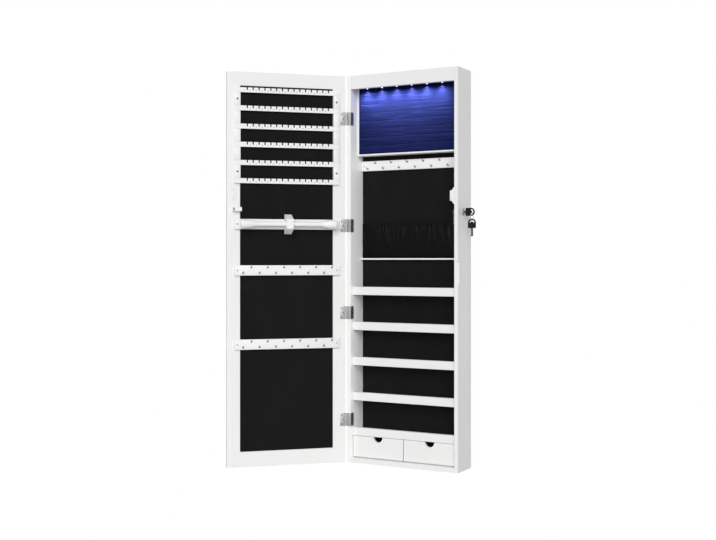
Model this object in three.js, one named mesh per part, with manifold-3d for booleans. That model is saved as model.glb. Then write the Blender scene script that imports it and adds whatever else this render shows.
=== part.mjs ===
// Wall-hung jewelry cabinet with a full-length mirror door, modelled with the door open.
// Millimetres, +Z up. X runs across the cabinet, the front faces -Y and the wall is the plane Y = 0.
// Heights below are measured from the underside of the cabinet; the last lines move the origin
// to the middle of the hanging batten's rear face.

import * as THREE from "three";
import * as BufferGeometryUtils from "three/addons/utils/BufferGeometryUtils.js";
import Module from "manifold-3d";

const wasm = await Module();
wasm.setup();

// ---------------------------------------------------------------- driving dimensions

const FIT = 0.3; // gap between two pieces that seat on each other
const ROUND = 20; // sides of a round piece

// Carcass
const CABINET_WIDTH = 372;
const CABINET_HEIGHT = 1200;
const CABINET_DEPTH = 100;
const SIDE_THICKNESS = 12;
const END_THICKNESS = 15; // top and bottom boards
const LINING_DEPTH = 80; // from the front plane to the face of the velvet lining
const LINING_THICKNESS = 1.5;
const BACK_THICKNESS = 3;
const FASCIA_HEIGHT = 41;
const FASCIA_THICKNESS = 12;
const BATTEN_HEIGHT = 60;
const NOTCH_DROP = 149.5; // from the lock down to the finger notch in the right side's front edge
const NOTCH_LENGTH = 62;
const NOTCH_RUN_OUT = 7;
const NOTCH_CUT = 6.5; // depth of the notch, square to its slanted floor

// Lamps
const LED_COUNT = 6;
const LED_PITCH = 50.6;
const LED_RADIUS = 4.5;
const LED_BAR_END = 26; // bar beyond the last lamp
const LED_BAR_HEIGHT = 15;
const LED_BAR_DEPTH = 18;
const LED_BAR_LIFT = 5.5; // underside of the bar above the fascia's lower edge
const BATTERY_BOX_LENGTH = 120;
const BATTERY_BOX_DEPTH = 34;

// Ring tray
const TRAY_TOP_DROP = 30; // from the top of the cabinet to the top of the tray
const TRAY_HEIGHT = 215.5;
const TRAY_WALL = 5;
const TRAY_BACK = 3;
const TRAY_FRONT_DEPTH = 44; // front edge of the tray behind the front plane
const CUSHION_RECESS = 1.5; // crest of the rolls behind the tray's front edge
const ROLL_COUNT = 8;
const ROLL_DEPTH = 7;
const ROLL_STEPS = 8;

// Bars that carry hooks
const BAR_HEIGHT = 31;
const NECKLACE_BAR_DROP = 15; // from the tray down to the bar
const NECKLACE_BAR_THICKNESS = 8;
const NECKLACE_HOOK_PITCH = 55;
const DOOR_BAR_THICKNESS = 10;
const DOOR_BAR_INSET = 21; // bar end from the door's edge
const DOOR_HOOK_PITCH = 50.6;
const DOOR_BAR_DROP = 140.5; // from the bracelet holder to the upper bar, middle to middle
const DOOR_BAR_PITCH = 225;
const HOOK_COUNT = 6; // in each of a bar's two rows
const HOOK_ROW_RISE = 8.5; // each row above or below the bar's middle
const HOOK_WIDTH = 2.4;
const HOOK_REACH = 9;
const HOOK_RISE = 5;

// Pocket
const LEDGE_THICKNESS = 5;
const LEDGE_DEPTH = 14;
const POCKET_HEIGHT = 109;
const CLOTH_THICKNESS = 1.2;
const CLOTH_EDGE_GAP = 0.6; // cloth to the lining at the pocket's two ends
const POCKET_HEM_BULGE = 10;
const POCKET_BELLY_BULGE = 14;
const FOLD_COUNT = 13;
const FOLD_STEPS = 4;
const FOLD_ROWS = 9;
const FOLD_AMPLITUDE_HEM = 2.4;
const FOLD_AMPLITUDE_FOOT = 0.7;
const FOLD_DRIFT = 1.1; // how far the folds wander sideways, in radians of a fold

// Shelves
const SHELF_COUNT = 5;
const SHELF_PITCH = 109.4;
const SHELF_RAIL_HEIGHT = 25.5;
const SHELF_RAIL_THICKNESS = 12;
const SHELF_BOARD_THICKNESS = 9;
const SHELF_SETBACK = 15; // front of the rails behind the front plane

// Drawers
const DRAWER_GAP = 1.5; // around each drawer front
const DRAWER_FRONT_HEIGHT = 65;
const DRAWER_FRONT_THICKNESS = 9;
const DRAWER_MOON_RADIUS = 15.5;
const DRAWER_WALL = 4;
const DRAWER_FLOOR = 3;
const DRAWER_BOX_HEIGHT = 58;
const DRAWER_BACK_GAP = 1.5;
const DIVIDER_THICKNESS = 2;
const DIVIDER_SETBACK = 10; // behind the drawer fronts' faces

// Door
const DOOR_OPEN_ANGLE = 135;
const DOOR_GAP = 3.4; // carcass front to the door's inner face when shut
const DOOR_THICKNESS = 18;
const STILE_WIDTH = 40;
const TOP_RAIL_HEIGHT = 42;
const BOTTOM_RAIL_HEIGHT = 46;
const EDGE_STEP_WIDTH = 9; // shallow step along the lock stile's free edge
const EDGE_STEP_DEPTH = 1.5;
const VELVET_RECESS = 1.5;
const VELVET_THICKNESS = 1.5;
const MIRROR_THICKNESS = 4;
const MIRROR_BORDER = 18; // frame left showing around the mirror

// Hinges
const HINGE_END_INSET = 132.5; // end hinges' middles from the cabinet's ends
const HINGE_MIDDLE_OFFSET = 135.3; // middle hinges' middles from the cabinet's middle
const HINGE_HEIGHT = 40;
const LEAF_THICKNESS = 1.2;
const DOOR_LEAF_WIDTH = 17;
const CABINET_LEAF_RETURN = 17; // flange on the side panel's inner face
const KNUCKLE_RADIUS = 2.4;
const KNUCKLE_COUNT = 5;
const PIN_RADIUS = 1.1;
const PIN_CLEARANCE = 0.4;

// Earring rack
const STRIP_COUNT = 6;
const STRIP_PITCH = 55.1;
const STRIP_HEIGHT = 15;
const STRIP_THICKNESS = 3;
const RACK_TOP_DROP = 48; // from the door's top to the top strip
const RACK_THICKNESS = 8;
const RACK_RAIL_WIDTH = 19;
const SLOT_COUNT = 15;
const SLOT_PITCH = 18.2;
const SLOT_SHIFT = 2.4; // middle of the row of slots from the door's middle, towards the hinges
const SLOT_WIDTH = 4;
const SLOT_DEPTH = 8;

// Bracelet holder
const BRACELET_DROP = 124; // from the rack's foot to the holder's middle
const ROD_STANDOFF = 30; // rod axis from the door's inner face
const ROD_RADIUS = 7.5;
const ROD_END_RADIUS = 14;
const ROD_END_LENGTH = 56;
const ROD_INSET = 34; // rod end from the door's edge
const BRACKET_WIDTH = 22;
const BRACKET_FOOT_HEIGHT = 60;
const BRACKET_FRONT_HEIGHT = 30;
const BRACKET_DEPTH = 45;

// Lock, on the right side panel
const LOCK_RISE = 34; // above the bracelet holder's middle
const LOCK_DEPTH = 40; // axis behind the front plane
const LOCK_FLANGE_RADIUS = 11;
const LOCK_FLANGE_THICKNESS = 3;
const LOCK_BARREL_RADIUS = 8.5;
const LOCK_BARREL_LENGTH = 27; // from the side panel's outer face inwards
const LOCK_NUT_RADIUS = 12;
const LOCK_NUT_THICKNESS = 3;
const PLUG_RADIUS = 5.5;
const PLUG_STUD_RADIUS = 3;
const PLUG_CLEARANCE = 0.4;
const CAM_THICKNESS = 3;
const CAM_HUB_RADIUS = 8;
const CAM_WIDTH = 8;
const CAM_NOSE_WIDTH = 2.5;
const CAM_NOSE_RISE = 5;

// Strike on the door, which the cam's nose enters from below
const STRIKE_WIDTH = 27;
const STRIKE_HEIGHT = 12;
const STRIKE_DEPTH = 14.5;
const STRIKE_EDGE_INSET = 16; // from the door's free edge
const STRIKE_BAR = 3.7; // wall of the strike that the cam's nose holds
const STRIKE_PLAY = 1; // nose to that wall, and cam to the strike's underside
const STRIKE_ROOF = 3;
const STRIKE_BACK = 3.5;

// Keys
const BOW_LENGTH = 28;
const BOW_WIDTH = 24;
const BOW_THICKNESS = 5.5;
const BOW_CORNER = 3;
const BOW_HOLE_RADIUS = 5;
const BOW_HOLE_INSET = 8.5; // hole's middle from the bow's far end
const BLADE_LENGTH = 25;
const BLADE_WIDTH = 7;
const BLADE_THICKNESS = 2.2;
const BLADE_CLEARANCE = 0.3;
const BLADE_NOTCH = 1.6;
const BLADE_NOTCH_COUNT = 4;
const KEY_SHOULDER_GAP = 5; // bow to the face of the lock
const RING_RADIUS = 11;
const RING_WIRE_RADIUS = 0.8;
const RING_PLAY = 0.8; // wire to the edge of a bow's hole
const RING_STEPS = 28;

// Magnetic catch
const CATCH_RISE = 47.5; // above the lock
const CATCH_LENGTH = 50;
const CATCH_PLATEAU = 30;
const CATCH_REACH = 14;
const CATCH_DEPTH = 16;
const MAGNET_LENGTH = 22;
const MAGNET_WIDTH = 7;
const MAGNET_DEPTH = 6;
const PLATE_LENGTH = 42;
const PLATE_RISE = 10; // above the magnet's middle
const PLATE_WIDTH = 12;
const PLATE_THICKNESS = 1.2;

// ---------------------------------------------------------------- places worked out from the sizes

const halfWidth = CABINET_WIDTH / 2;
const innerHalf = halfWidth - SIDE_THICKNESS;
const frontY = -CABINET_DEPTH;
const atDepth = (depth) => frontY + depth;
const liningY = atDepth(LINING_DEPTH);
const backY = liningY + LINING_THICKNESS + FIT;
const battenY = backY + BACK_THICKNESS + FIT;
const innerTop = CABINET_HEIGHT - END_THICKNESS;
const battenTop = innerTop - FIT;
const battenMiddle = battenTop - BATTEN_HEIGHT / 2;
const fasciaBottom = CABINET_HEIGHT - FASCIA_HEIGHT;
const trayTop = CABINET_HEIGHT - TRAY_TOP_DROP;
const trayBottom = trayTop - TRAY_HEIGHT;
const shelfBottom = (index) =>
  END_THICKNESS + DRAWER_FRONT_HEIGHT + 2.5 * FIT + DRAWER_GAP + index * SHELF_PITCH;
const ledgeBottom = shelfBottom(SHELF_COUNT);
const ledgeTop = ledgeBottom + LEDGE_THICKNESS;
const leafGap = FIT; // leaves start this far outside their knuckles' reach
const hingeAxisX = KNUCKLE_RADIUS + leafGap; // outside the cabinet's edge
const hingeAxisY = DOOR_GAP / 2; // in front of the carcass
const doorWidth = CABINET_WIDTH;
const doorHeight = CABINET_HEIGHT;
const rackTop = doorHeight - RACK_TOP_DROP;
const rackBottom = rackTop - (STRIP_COUNT - 1) * STRIP_PITCH - STRIP_HEIGHT;
const braceletHeight = rackBottom - BRACELET_DROP;
const upperBarHeight = braceletHeight - DOOR_BAR_DROP;
const lockHeight = braceletHeight + LOCK_RISE;
const catchHeight = lockHeight + CATCH_RISE;
const notchTop = lockHeight - NOTCH_DROP;
const lockY = atDepth(LOCK_DEPTH);
const lockFaceX = halfWidth + FIT + LOCK_FLANGE_THICKNESS;
const barrelEndX = halfWidth - LOCK_BARREL_LENGTH;
const camFaceX = barrelEndX - 2 * FIT;
const camBackX = camFaceX - CAM_THICKNESS;
const strikeBarDepth = STRIKE_DEPTH - STRIKE_BAR - DOOR_GAP; // behind the front plane, door shut
const camReach = LOCK_DEPTH - strikeBarDepth + STRIKE_PLAY + CAM_NOSE_WIDTH;
const strikeBottom = lockHeight + CAM_WIDTH / 2 + STRIKE_PLAY;
const bowNearX = lockFaceX + KEY_SHOULDER_GAP;
const bowHoleX = bowNearX + BOW_LENGTH - BOW_HOLE_INSET;
const ringTopZ = lockHeight - BOW_HOLE_RADIUS + RING_PLAY + RING_WIRE_RADIUS;
const ringBottomZ = ringTopZ - 2 * RING_RADIUS;
const spareHoleZ = ringBottomZ + RING_WIRE_RADIUS + RING_PLAY - BOW_HOLE_RADIUS;

// ---------------------------------------------------------------- materials

const material = (color, roughness, metalness = 0) =>
  new THREE.MeshStandardMaterial({ color, roughness, metalness });
const whiteLacquer = material(0xececec, 0.45);
const whitePlastic = material(0xf4f4f4, 0.4);
const blackVelvet = material(0x1d1d1e, 0.95);
const blackSatin = material(0x121213, 0.55);
const navyFoam = material(0x1a1c3a, 0.9);
const hardboard = material(0x8a6a48, 0.8);
const mirrorGlass = material(0xd8dee0, 0.05, 1);
const steel = material(0xa9abad, 0.35, 1);
const blackPlastic = material(0x161616, 0.4);
const lampPlastic = material(0xe6eaff, 0.3);
const magnetBlack = material(0x2a2a2c, 0.6);

// ---------------------------------------------------------------- geometry helpers

/** A block between two corners. */
const block = (x0, x1, y0, y1, z0, z1) =>
  new THREE.BoxGeometry(x1 - x0, y1 - y0, z1 - z0).translate(
    (x0 + x1) / 2,
    (y0 + y1) / 2,
    (z0 + z1) / 2,
  );

/** A shape from a list of [x, y] points. */
const outline = (points) => new THREE.Shape(points.map(([x, y]) => new THREE.Vector2(x, y)));

const extrude = (shape, depth, curveSegments = ROUND / 2) =>
  new THREE.ExtrudeGeometry(shape, { depth, bevelEnabled: false, curveSegments });

/** Extrudes a shape drawn in (Y, Z) along X, from x0 to x1. */
const extrudeX = (shape, x0, x1) =>
  extrude(shape, x1 - x0)
    .applyMatrix4(new THREE.Matrix4().set(0, 0, 1, 0, 1, 0, 0, 0, 0, 1, 0, 0, 0, 0, 0, 1))
    .translate(x0, 0, 0);

/** Extrudes a shape drawn in (X, Z) along Y, from y0 to y1. */
const extrudeY = (shape, y0, y1) =>
  extrude(shape, y1 - y0)
    .applyMatrix4(new THREE.Matrix4().set(1, 0, 0, 0, 0, 0, -1, 0, 0, 1, 0, 0, 0, 0, 0, 1))
    .translate(0, y1, 0);

/** Turns a closed profile of [radius, length] points about X; length runs along +X. */
const turnX = (profile, steps = ROUND) =>
  new THREE.LatheGeometry(
    profile.map(([radius, length]) => new THREE.Vector2(radius, length)),
    steps,
  ).rotateZ(-Math.PI / 2);

/** An upright round bar. */
const uprightRod = (radius, x, y, z0, z1, steps = ROUND) =>
  new THREE.CylinderGeometry(radius, radius, z1 - z0, steps)
    .rotateX(Math.PI / 2)
    .translate(x, y, (z0 + z1) / 2);

function solid(geometry) {
  const bare = geometry.clone();
  bare.deleteAttribute("normal");
  bare.deleteAttribute("uv");
  const merged = BufferGeometryUtils.mergeVertices(bare, 1e-4);
  return new wasm.Manifold(
    new wasm.Mesh({
      numProp: 3,
      vertProperties: new Float32Array(merged.attributes.position.array),
      triVerts: new Uint32Array(merged.index.array),
    }),
  );
}

function surface(manifold) {
  const mesh = manifold.getMesh();
  const positions = new Float32Array(mesh.numVert * 3);
  for (let i = 0; i < mesh.numVert; i += 1) {
    const start = i * mesh.numProp;
    positions.set(mesh.vertProperties.subarray(start, start + 3), i * 3);
  }
  const geometry = new THREE.BufferGeometry();
  geometry.setAttribute("position", new THREE.BufferAttribute(positions, 3));
  geometry.setIndex(new THREE.BufferAttribute(mesh.triVerts, 1));
  geometry.computeVertexNormals();
  return geometry;
}

const joined = (...geometries) => surface(geometries.map(solid).reduce((a, b) => a.add(b)));
const cut = (geometry, ...cutters) =>
  surface(cutters.map(solid).reduce((body, cutter) => body.subtract(cutter), solid(geometry)));

function piece(name, geometry, finish) {
  const mesh = new THREE.Mesh(geometry, finish);
  mesh.name = name;
  return mesh;
}

// ---------------------------------------------------------------- carcass

function notchCutter() {
  // A trough across the front edge at 45 degrees, its ends sloping out to the surface.
  const reach = 2 * NOTCH_CUT;
  const spread = (NOTCH_RUN_OUT / NOTCH_CUT) * (NOTCH_CUT + reach);
  const wedge = outline([
    [NOTCH_CUT, notchTop - NOTCH_LENGTH],
    [NOTCH_CUT, notchTop],
    [-reach, notchTop + spread],
    [-reach, notchTop - NOTCH_LENGTH - spread],
  ]);
  return extrudeX(wedge, -reach, reach).rotateZ(Math.PI / 4).translate(halfWidth, frontY, 0);
}

function sidePanels() {
  const panel = (x0, x1) => block(x0, x1, frontY, 0, 0, CABINET_HEIGHT);
  const lockBore = turnX([
    [0, -SIDE_THICKNESS],
    [LOCK_BARREL_RADIUS + FIT, -SIDE_THICKNESS],
    [LOCK_BARREL_RADIUS + FIT, SIDE_THICKNESS],
    [0, SIDE_THICKNESS],
  ]).translate(halfWidth - SIDE_THICKNESS / 2, lockY, lockHeight);
  return [
    piece("side_panel_left", panel(-halfWidth, -innerHalf), whiteLacquer),
    piece(
      "side_panel_right",
      cut(panel(innerHalf, halfWidth), lockBore, notchCutter()),
      whiteLacquer,
    ),
  ];
}

function endPanels() {
  const across = innerHalf - FIT;
  const behindFascia = frontY + FASCIA_THICKNESS + FIT;
  return [
    piece(
      "top_panel",
      block(-across, across, behindFascia, 0, innerTop, CABINET_HEIGHT),
      whiteLacquer,
    ),
    piece("bottom_panel", block(-across, across, frontY, 0, 0, END_THICKNESS), whiteLacquer),
    piece(
      "top_fascia",
      block(-across, across, frontY, frontY + FASCIA_THICKNESS, fasciaBottom, CABINET_HEIGHT),
      whiteLacquer,
    ),
  ];
}

function backPanels() {
  const across = innerHalf - FIT;
  const low = END_THICKNESS + FIT;
  const high = innerTop - FIT;
  return [
    piece(
      "back_lining",
      block(-across, across, liningY, liningY + LINING_THICKNESS, low, high),
      blackVelvet,
    ),
    piece("back_panel", block(-across, across, backY, backY + BACK_THICKNESS, low, high), hardboard),
  ];
}

function battens() {
  const across = innerHalf - FIT;
  const batten = (low) => block(-across, across, battenY, 0, low, low + BATTEN_HEIGHT);
  return [
    piece("hanging_batten", batten(battenTop - BATTEN_HEIGHT), hardboard),
    piece("lower_batten", batten(END_THICKNESS + FIT), hardboard),
  ];
}

// ---------------------------------------------------------------- lamps, ring tray and necklace bar

/** Positions of `count` things at one pitch, centred on zero. */
const spaced = (count, pitch) =>
  Array.from({ length: count }, (_, index) => (index - (count - 1) / 2) * pitch);

function lamps() {
  const low = fasciaBottom + LED_BAR_LIFT;
  const near = frontY + FASCIA_THICKNESS + FIT;
  const half = ((LED_COUNT - 1) * LED_PITCH) / 2 + LED_BAR_END;
  const bar = block(-half, half, near, near + LED_BAR_DEPTH, low, low + LED_BAR_HEIGHT);
  const dome = (x) =>
    new THREE.SphereGeometry(LED_RADIUS, 10, 6).translate(x, near + LED_BAR_DEPTH / 2, low);
  const boxFront = atDepth(TRAY_FRONT_DEPTH) + FIT;
  return [
    piece("led_bar", joined(bar, ...spaced(LED_COUNT, LED_PITCH).map(dome)), lampPlastic),
    piece(
      "battery_box",
      block(
        -BATTERY_BOX_LENGTH / 2,
        BATTERY_BOX_LENGTH / 2,
        boxFront,
        boxFront + BATTERY_BOX_DEPTH,
        trayTop + FIT,
        innerTop - FIT,
      ),
      whitePlastic,
    ),
  ];
}

function ringTray() {
  const half = innerHalf - FIT;
  const front = atDepth(TRAY_FRONT_DEPTH);
  const floor = liningY - FIT - TRAY_BACK;
  const body = block(-half, half, front, liningY - FIT, trayBottom, trayTop);
  const hollow = block(
    -half + TRAY_WALL,
    half - TRAY_WALL,
    front - 1,
    floor,
    trayBottom + TRAY_WALL,
    trayTop - TRAY_WALL,
  );
  const low = trayBottom + TRAY_WALL + FIT;
  const pitch = (TRAY_HEIGHT - 2 * TRAY_WALL - 2 * FIT) / ROLL_COUNT;
  const valley = front + CUSHION_RECESS + ROLL_DEPTH;
  const crests = [];
  for (let roll = 0; roll < ROLL_COUNT; roll += 1) {
    for (let step = roll ? 1 : 0; step <= ROLL_STEPS; step += 1) {
      const angle = (Math.PI * step) / ROLL_STEPS;
      crests.push([
        valley - ROLL_DEPTH * Math.sin(angle),
        low + (roll + (1 - Math.cos(angle)) / 2) * pitch,
      ]);
    }
  }
  const back = floor - FIT;
  const profile = outline([[back, low], ...crests, [back, low + ROLL_COUNT * pitch]]);
  const cushionHalf = half - TRAY_WALL - FIT;
  return [
    piece("ring_tray", cut(body, hollow), whitePlastic),
    piece("ring_cushion", extrudeX(profile, -cushionHalf, cushionHalf), navyFoam),
  ];
}

/** One hook: a short arm with a turned-up end, rooted in a bar whose face is at y = 0. */
function hook(x, z, towards) {
  const half = HOOK_WIDTH / 2;
  const profile = outline([
    [1, z - half],
    [1, z + half],
    [-HOOK_REACH + HOOK_WIDTH, z + half],
    [-HOOK_REACH + HOOK_WIDTH, z + HOOK_RISE],
    [-HOOK_REACH, z + HOOK_RISE],
    [-HOOK_REACH, z],
    [-HOOK_REACH + half, z - half],
  ]);
  const bar = extrudeX(profile, x - half, x + half);
  return towards < 0 ? bar : bar.rotateZ(Math.PI).translate(2 * x, 0, 0);
}

/** Two staggered rows of hooks about a middle x and z. */
function hooks(middleX, middleZ, pitch, towards) {
  return spaced(HOOK_COUNT, pitch).flatMap((offset) => [
    hook(middleX + offset - (towards * pitch) / 4, middleZ + HOOK_ROW_RISE, towards),
    hook(middleX + offset + (towards * pitch) / 4, middleZ - HOOK_ROW_RISE, towards),
  ]);
}

function necklaceBar() {
  const half = innerHalf - FIT;
  const top = trayBottom - NECKLACE_BAR_DROP;
  const back = liningY - FIT;
  const front = back - NECKLACE_BAR_THICKNESS;
  const bar = block(-half, half, front, back, top - BAR_HEIGHT, top);
  const row = hooks(0, top - BAR_HEIGHT / 2, NECKLACE_HOOK_PITCH, -1);
  return piece("necklace_bar", joined(bar, ...row.map((g) => g.translate(0, front, 0))), whitePlastic);
}

// ---------------------------------------------------------------- pocket

/** Front face of the pocket's cloth: depth behind the front plane at a share across and up. */
function clothDepth(across, up) {
  const ends = 1 - (2 * across - 1) ** 8;
  const bulge = POCKET_HEM_BULGE + (POCKET_BELLY_BULGE - POCKET_HEM_BULGE) * Math.sin(Math.PI * up);
  const amplitude = FOLD_AMPLITUDE_FOOT + (FOLD_AMPLITUDE_HEM - FOLD_AMPLITUDE_FOOT) * up;
  const drift = FOLD_DRIFT * (1 - up) * Math.sin(3 * Math.PI * across);
  const fold = amplitude * Math.cos(2 * Math.PI * FOLD_COUNT * across + drift);
  return LINING_DEPTH - CLOTH_EDGE_GAP - CLOTH_THICKNESS - ends * (bulge + fold);
}

function pocketCloth() {
  const columns = FOLD_COUNT * FOLD_STEPS;
  const half = innerHalf - FIT;
  const positions = [];
  for (const thickness of [0, CLOTH_THICKNESS]) {
    for (let row = 0; row <= FOLD_ROWS; row += 1) {
      for (let column = 0; column <= columns; column += 1) {
        const across = column / columns;
        const up = row / FOLD_ROWS;
        positions.push(
          (2 * across - 1) * half,
          atDepth(clothDepth(across, up) + thickness),
          ledgeTop + FIT + up * POCKET_HEIGHT,
        );
      }
    }
  }
  const layer = (columns + 1) * (FOLD_ROWS + 1);
  const at = (side, row, column) => side * layer + row * (columns + 1) + column;
  const index = [];
  const quad = (a, b, c, d) => index.push(a, b, c, a, c, d);
  for (let row = 0; row < FOLD_ROWS; row += 1) {
    for (let column = 0; column < columns; column += 1) {
      const corners = (side) => [
        at(side, row, column),
        at(side, row, column + 1),
        at(side, row + 1, column + 1),
        at(side, row + 1, column),
      ];
      quad(...corners(0));
      quad(...corners(1).reverse());
    }
  }
  for (let column = 0; column < columns; column += 1) {
    quad(at(1, 0, column), at(1, 0, column + 1), at(0, 0, column + 1), at(0, 0, column));
    const top = FOLD_ROWS;
    quad(at(0, top, column), at(0, top, column + 1), at(1, top, column + 1), at(1, top, column));
  }
  for (let row = 0; row < FOLD_ROWS; row += 1) {
    quad(at(1, row, 0), at(0, row, 0), at(0, row + 1, 0), at(1, row + 1, 0));
    const end = columns;
    quad(at(0, row, end), at(1, row, end), at(1, row + 1, end), at(0, row + 1, end));
  }
  const geometry = new THREE.BufferGeometry();
  geometry.setAttribute("position", new THREE.Float32BufferAttribute(positions, 3));
  geometry.setIndex(index);
  geometry.computeVertexNormals();
  return piece("pocket_cloth", geometry, blackSatin);
}

function pocketLedge() {
  const half = innerHalf - FIT;
  const back = liningY - FIT;
  return piece(
    "pocket_ledge",
    block(-half, half, back - LEDGE_DEPTH, back, ledgeBottom, ledgeTop),
    whiteLacquer,
  );
}

// ---------------------------------------------------------------- shelves and drawers

function shelves() {
  const half = innerHalf - FIT;
  const front = atDepth(SHELF_SETBACK);
  const back = liningY - FIT;
  return Array.from({ length: SHELF_COUNT }, (_, index) => {
    const low = shelfBottom(index);
    const profile = outline([
      [front, low],
      [back, low],
      [back, low + SHELF_BOARD_THICKNESS],
      [front + SHELF_RAIL_THICKNESS, low + SHELF_BOARD_THICKNESS],
      [front + SHELF_RAIL_THICKNESS, low + SHELF_RAIL_HEIGHT],
      [front, low + SHELF_RAIL_HEIGHT],
    ]);
    return piece(`shelf_${index + 1}`, extrudeX(profile, -half, half), whiteLacquer);
  });
}

function drawerFront(side) {
  const width = innerHalf - 2 * DRAWER_GAP;
  const x0 = side < 0 ? -innerHalf + DRAWER_GAP : DRAWER_GAP;
  const low = END_THICKNESS + DRAWER_GAP;
  const high = low + DRAWER_FRONT_HEIGHT;
  const middle = x0 + width / 2;
  const shape = new THREE.Shape();
  shape.moveTo(x0, low);
  shape.lineTo(x0 + width, low);
  shape.lineTo(x0 + width, high);
  shape.lineTo(middle + DRAWER_MOON_RADIUS, high);
  shape.absarc(middle, high, DRAWER_MOON_RADIUS, 0, -Math.PI, true);
  shape.lineTo(x0, high);
  const near = atDepth(SHELF_SETBACK);
  return extrudeY(shape, near, near + DRAWER_FRONT_THICKNESS);
}

function drawerBox(side) {
  const inner = DIVIDER_THICKNESS / 2 + 2 * FIT;
  const outer = innerHalf - 2 * DRAWER_GAP;
  const [x0, x1] = side < 0 ? [-outer, -inner] : [inner, outer];
  const y0 = atDepth(SHELF_SETBACK) + DRAWER_FRONT_THICKNESS + FIT;
  const y1 = liningY - DRAWER_BACK_GAP;
  const low = END_THICKNESS + FIT;
  const high = low + DRAWER_BOX_HEIGHT;
  return cut(
    block(x0, x1, y0, y1, low, high),
    block(
      x0 + DRAWER_WALL,
      x1 - DRAWER_WALL,
      y0 - 1,
      y1 - DRAWER_WALL,
      low + DRAWER_FLOOR,
      high + 1,
    ),
  );
}

function drawers() {
  const y0 = atDepth(SHELF_SETBACK) + DIVIDER_SETBACK;
  const divider = block(
    -DIVIDER_THICKNESS / 2,
    DIVIDER_THICKNESS / 2,
    y0,
    liningY - FIT,
    END_THICKNESS + FIT,
    shelfBottom(0) - FIT,
  );
  return [
    piece("drawer_divider", divider, whiteLacquer),
    piece("drawer_front_left", drawerFront(-1), whiteLacquer),
    piece("drawer_box_left", drawerBox(-1), blackVelvet),
    piece("drawer_front_right", drawerFront(1), whiteLacquer),
    piece("drawer_box_right", drawerBox(1), blackVelvet),
  ];
}

// ---------------------------------------------------------------- lock, keys and catch

function lockBody() {
  const bore = PLUG_RADIUS + PLUG_CLEARANCE;
  const housing = turnX([
    [bore, barrelEndX],
    [LOCK_BARREL_RADIUS, barrelEndX],
    [LOCK_BARREL_RADIUS, halfWidth + FIT],
    [LOCK_FLANGE_RADIUS, halfWidth + FIT],
    [LOCK_FLANGE_RADIUS, lockFaceX - 1],
    [LOCK_FLANGE_RADIUS - 1, lockFaceX],
    [bore, lockFaceX],
    [bore, barrelEndX],
  ]);
  const nutBack = innerHalf - FIT - LOCK_NUT_THICKNESS;
  const nut = turnX(
    [
      [LOCK_BARREL_RADIUS + FIT, nutBack],
      [LOCK_NUT_RADIUS, nutBack],
      [LOCK_NUT_RADIUS, nutBack + LOCK_NUT_THICKNESS],
      [LOCK_BARREL_RADIUS + FIT, nutBack + LOCK_NUT_THICKNESS],
      [LOCK_BARREL_RADIUS + FIT, nutBack],
    ],
    ROUND,
  );
  return [
    piece("lock_housing", housing.translate(0, lockY, lockHeight), steel),
    piece("lock_nut", nut.translate(0, lockY, lockHeight), steel),
  ];
}

function lockPlug() {
  const stem = turnX([
    [0, camBackX - 1],
    [PLUG_STUD_RADIUS, camBackX - 1],
    [PLUG_STUD_RADIUS, camFaceX + FIT],
    [PLUG_RADIUS, camFaceX + FIT],
    [PLUG_RADIUS, lockFaceX + FIT],
    [0, lockFaceX + FIT],
  ]);
  const half = BLADE_THICKNESS / 2 + BLADE_CLEARANCE;
  const keyway = block(
    bowNearX - BLADE_LENGTH - 1,
    lockFaceX + 1,
    -half,
    half,
    -BLADE_WIDTH / 2 - BLADE_CLEARANCE,
    BLADE_WIDTH / 2 + BLADE_CLEARANCE,
  );
  return piece("lock_plug", cut(stem, keyway).translate(0, lockY, lockHeight), steel);
}

function lockCam() {
  // Hangs down when unlocked, its nose turned to the front at the tip.
  const half = CAM_WIDTH / 2;
  const arm = outline([
    [half, 0],
    [-half, 0],
    [-half, -camReach + CAM_NOSE_WIDTH],
    [-half - CAM_NOSE_RISE, -camReach + CAM_NOSE_WIDTH],
    [-half - CAM_NOSE_RISE, -camReach],
    [half, -camReach],
  ]);
  const disc = turnX([
    [0, camBackX],
    [CAM_HUB_RADIUS, camBackX],
    [CAM_HUB_RADIUS, camFaceX],
    [0, camFaceX],
  ]);
  const hole = turnX([
    [0, camBackX - 1],
    [PLUG_STUD_RADIUS + FIT, camBackX - 1],
    [PLUG_STUD_RADIUS + FIT, camFaceX + 1],
    [0, camFaceX + 1],
  ]);
  const blank = joined(disc, extrudeX(arm, camBackX, camFaceX));
  return piece("lock_cam", cut(blank, hole).translate(0, lockY, lockHeight), steel);
}

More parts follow.
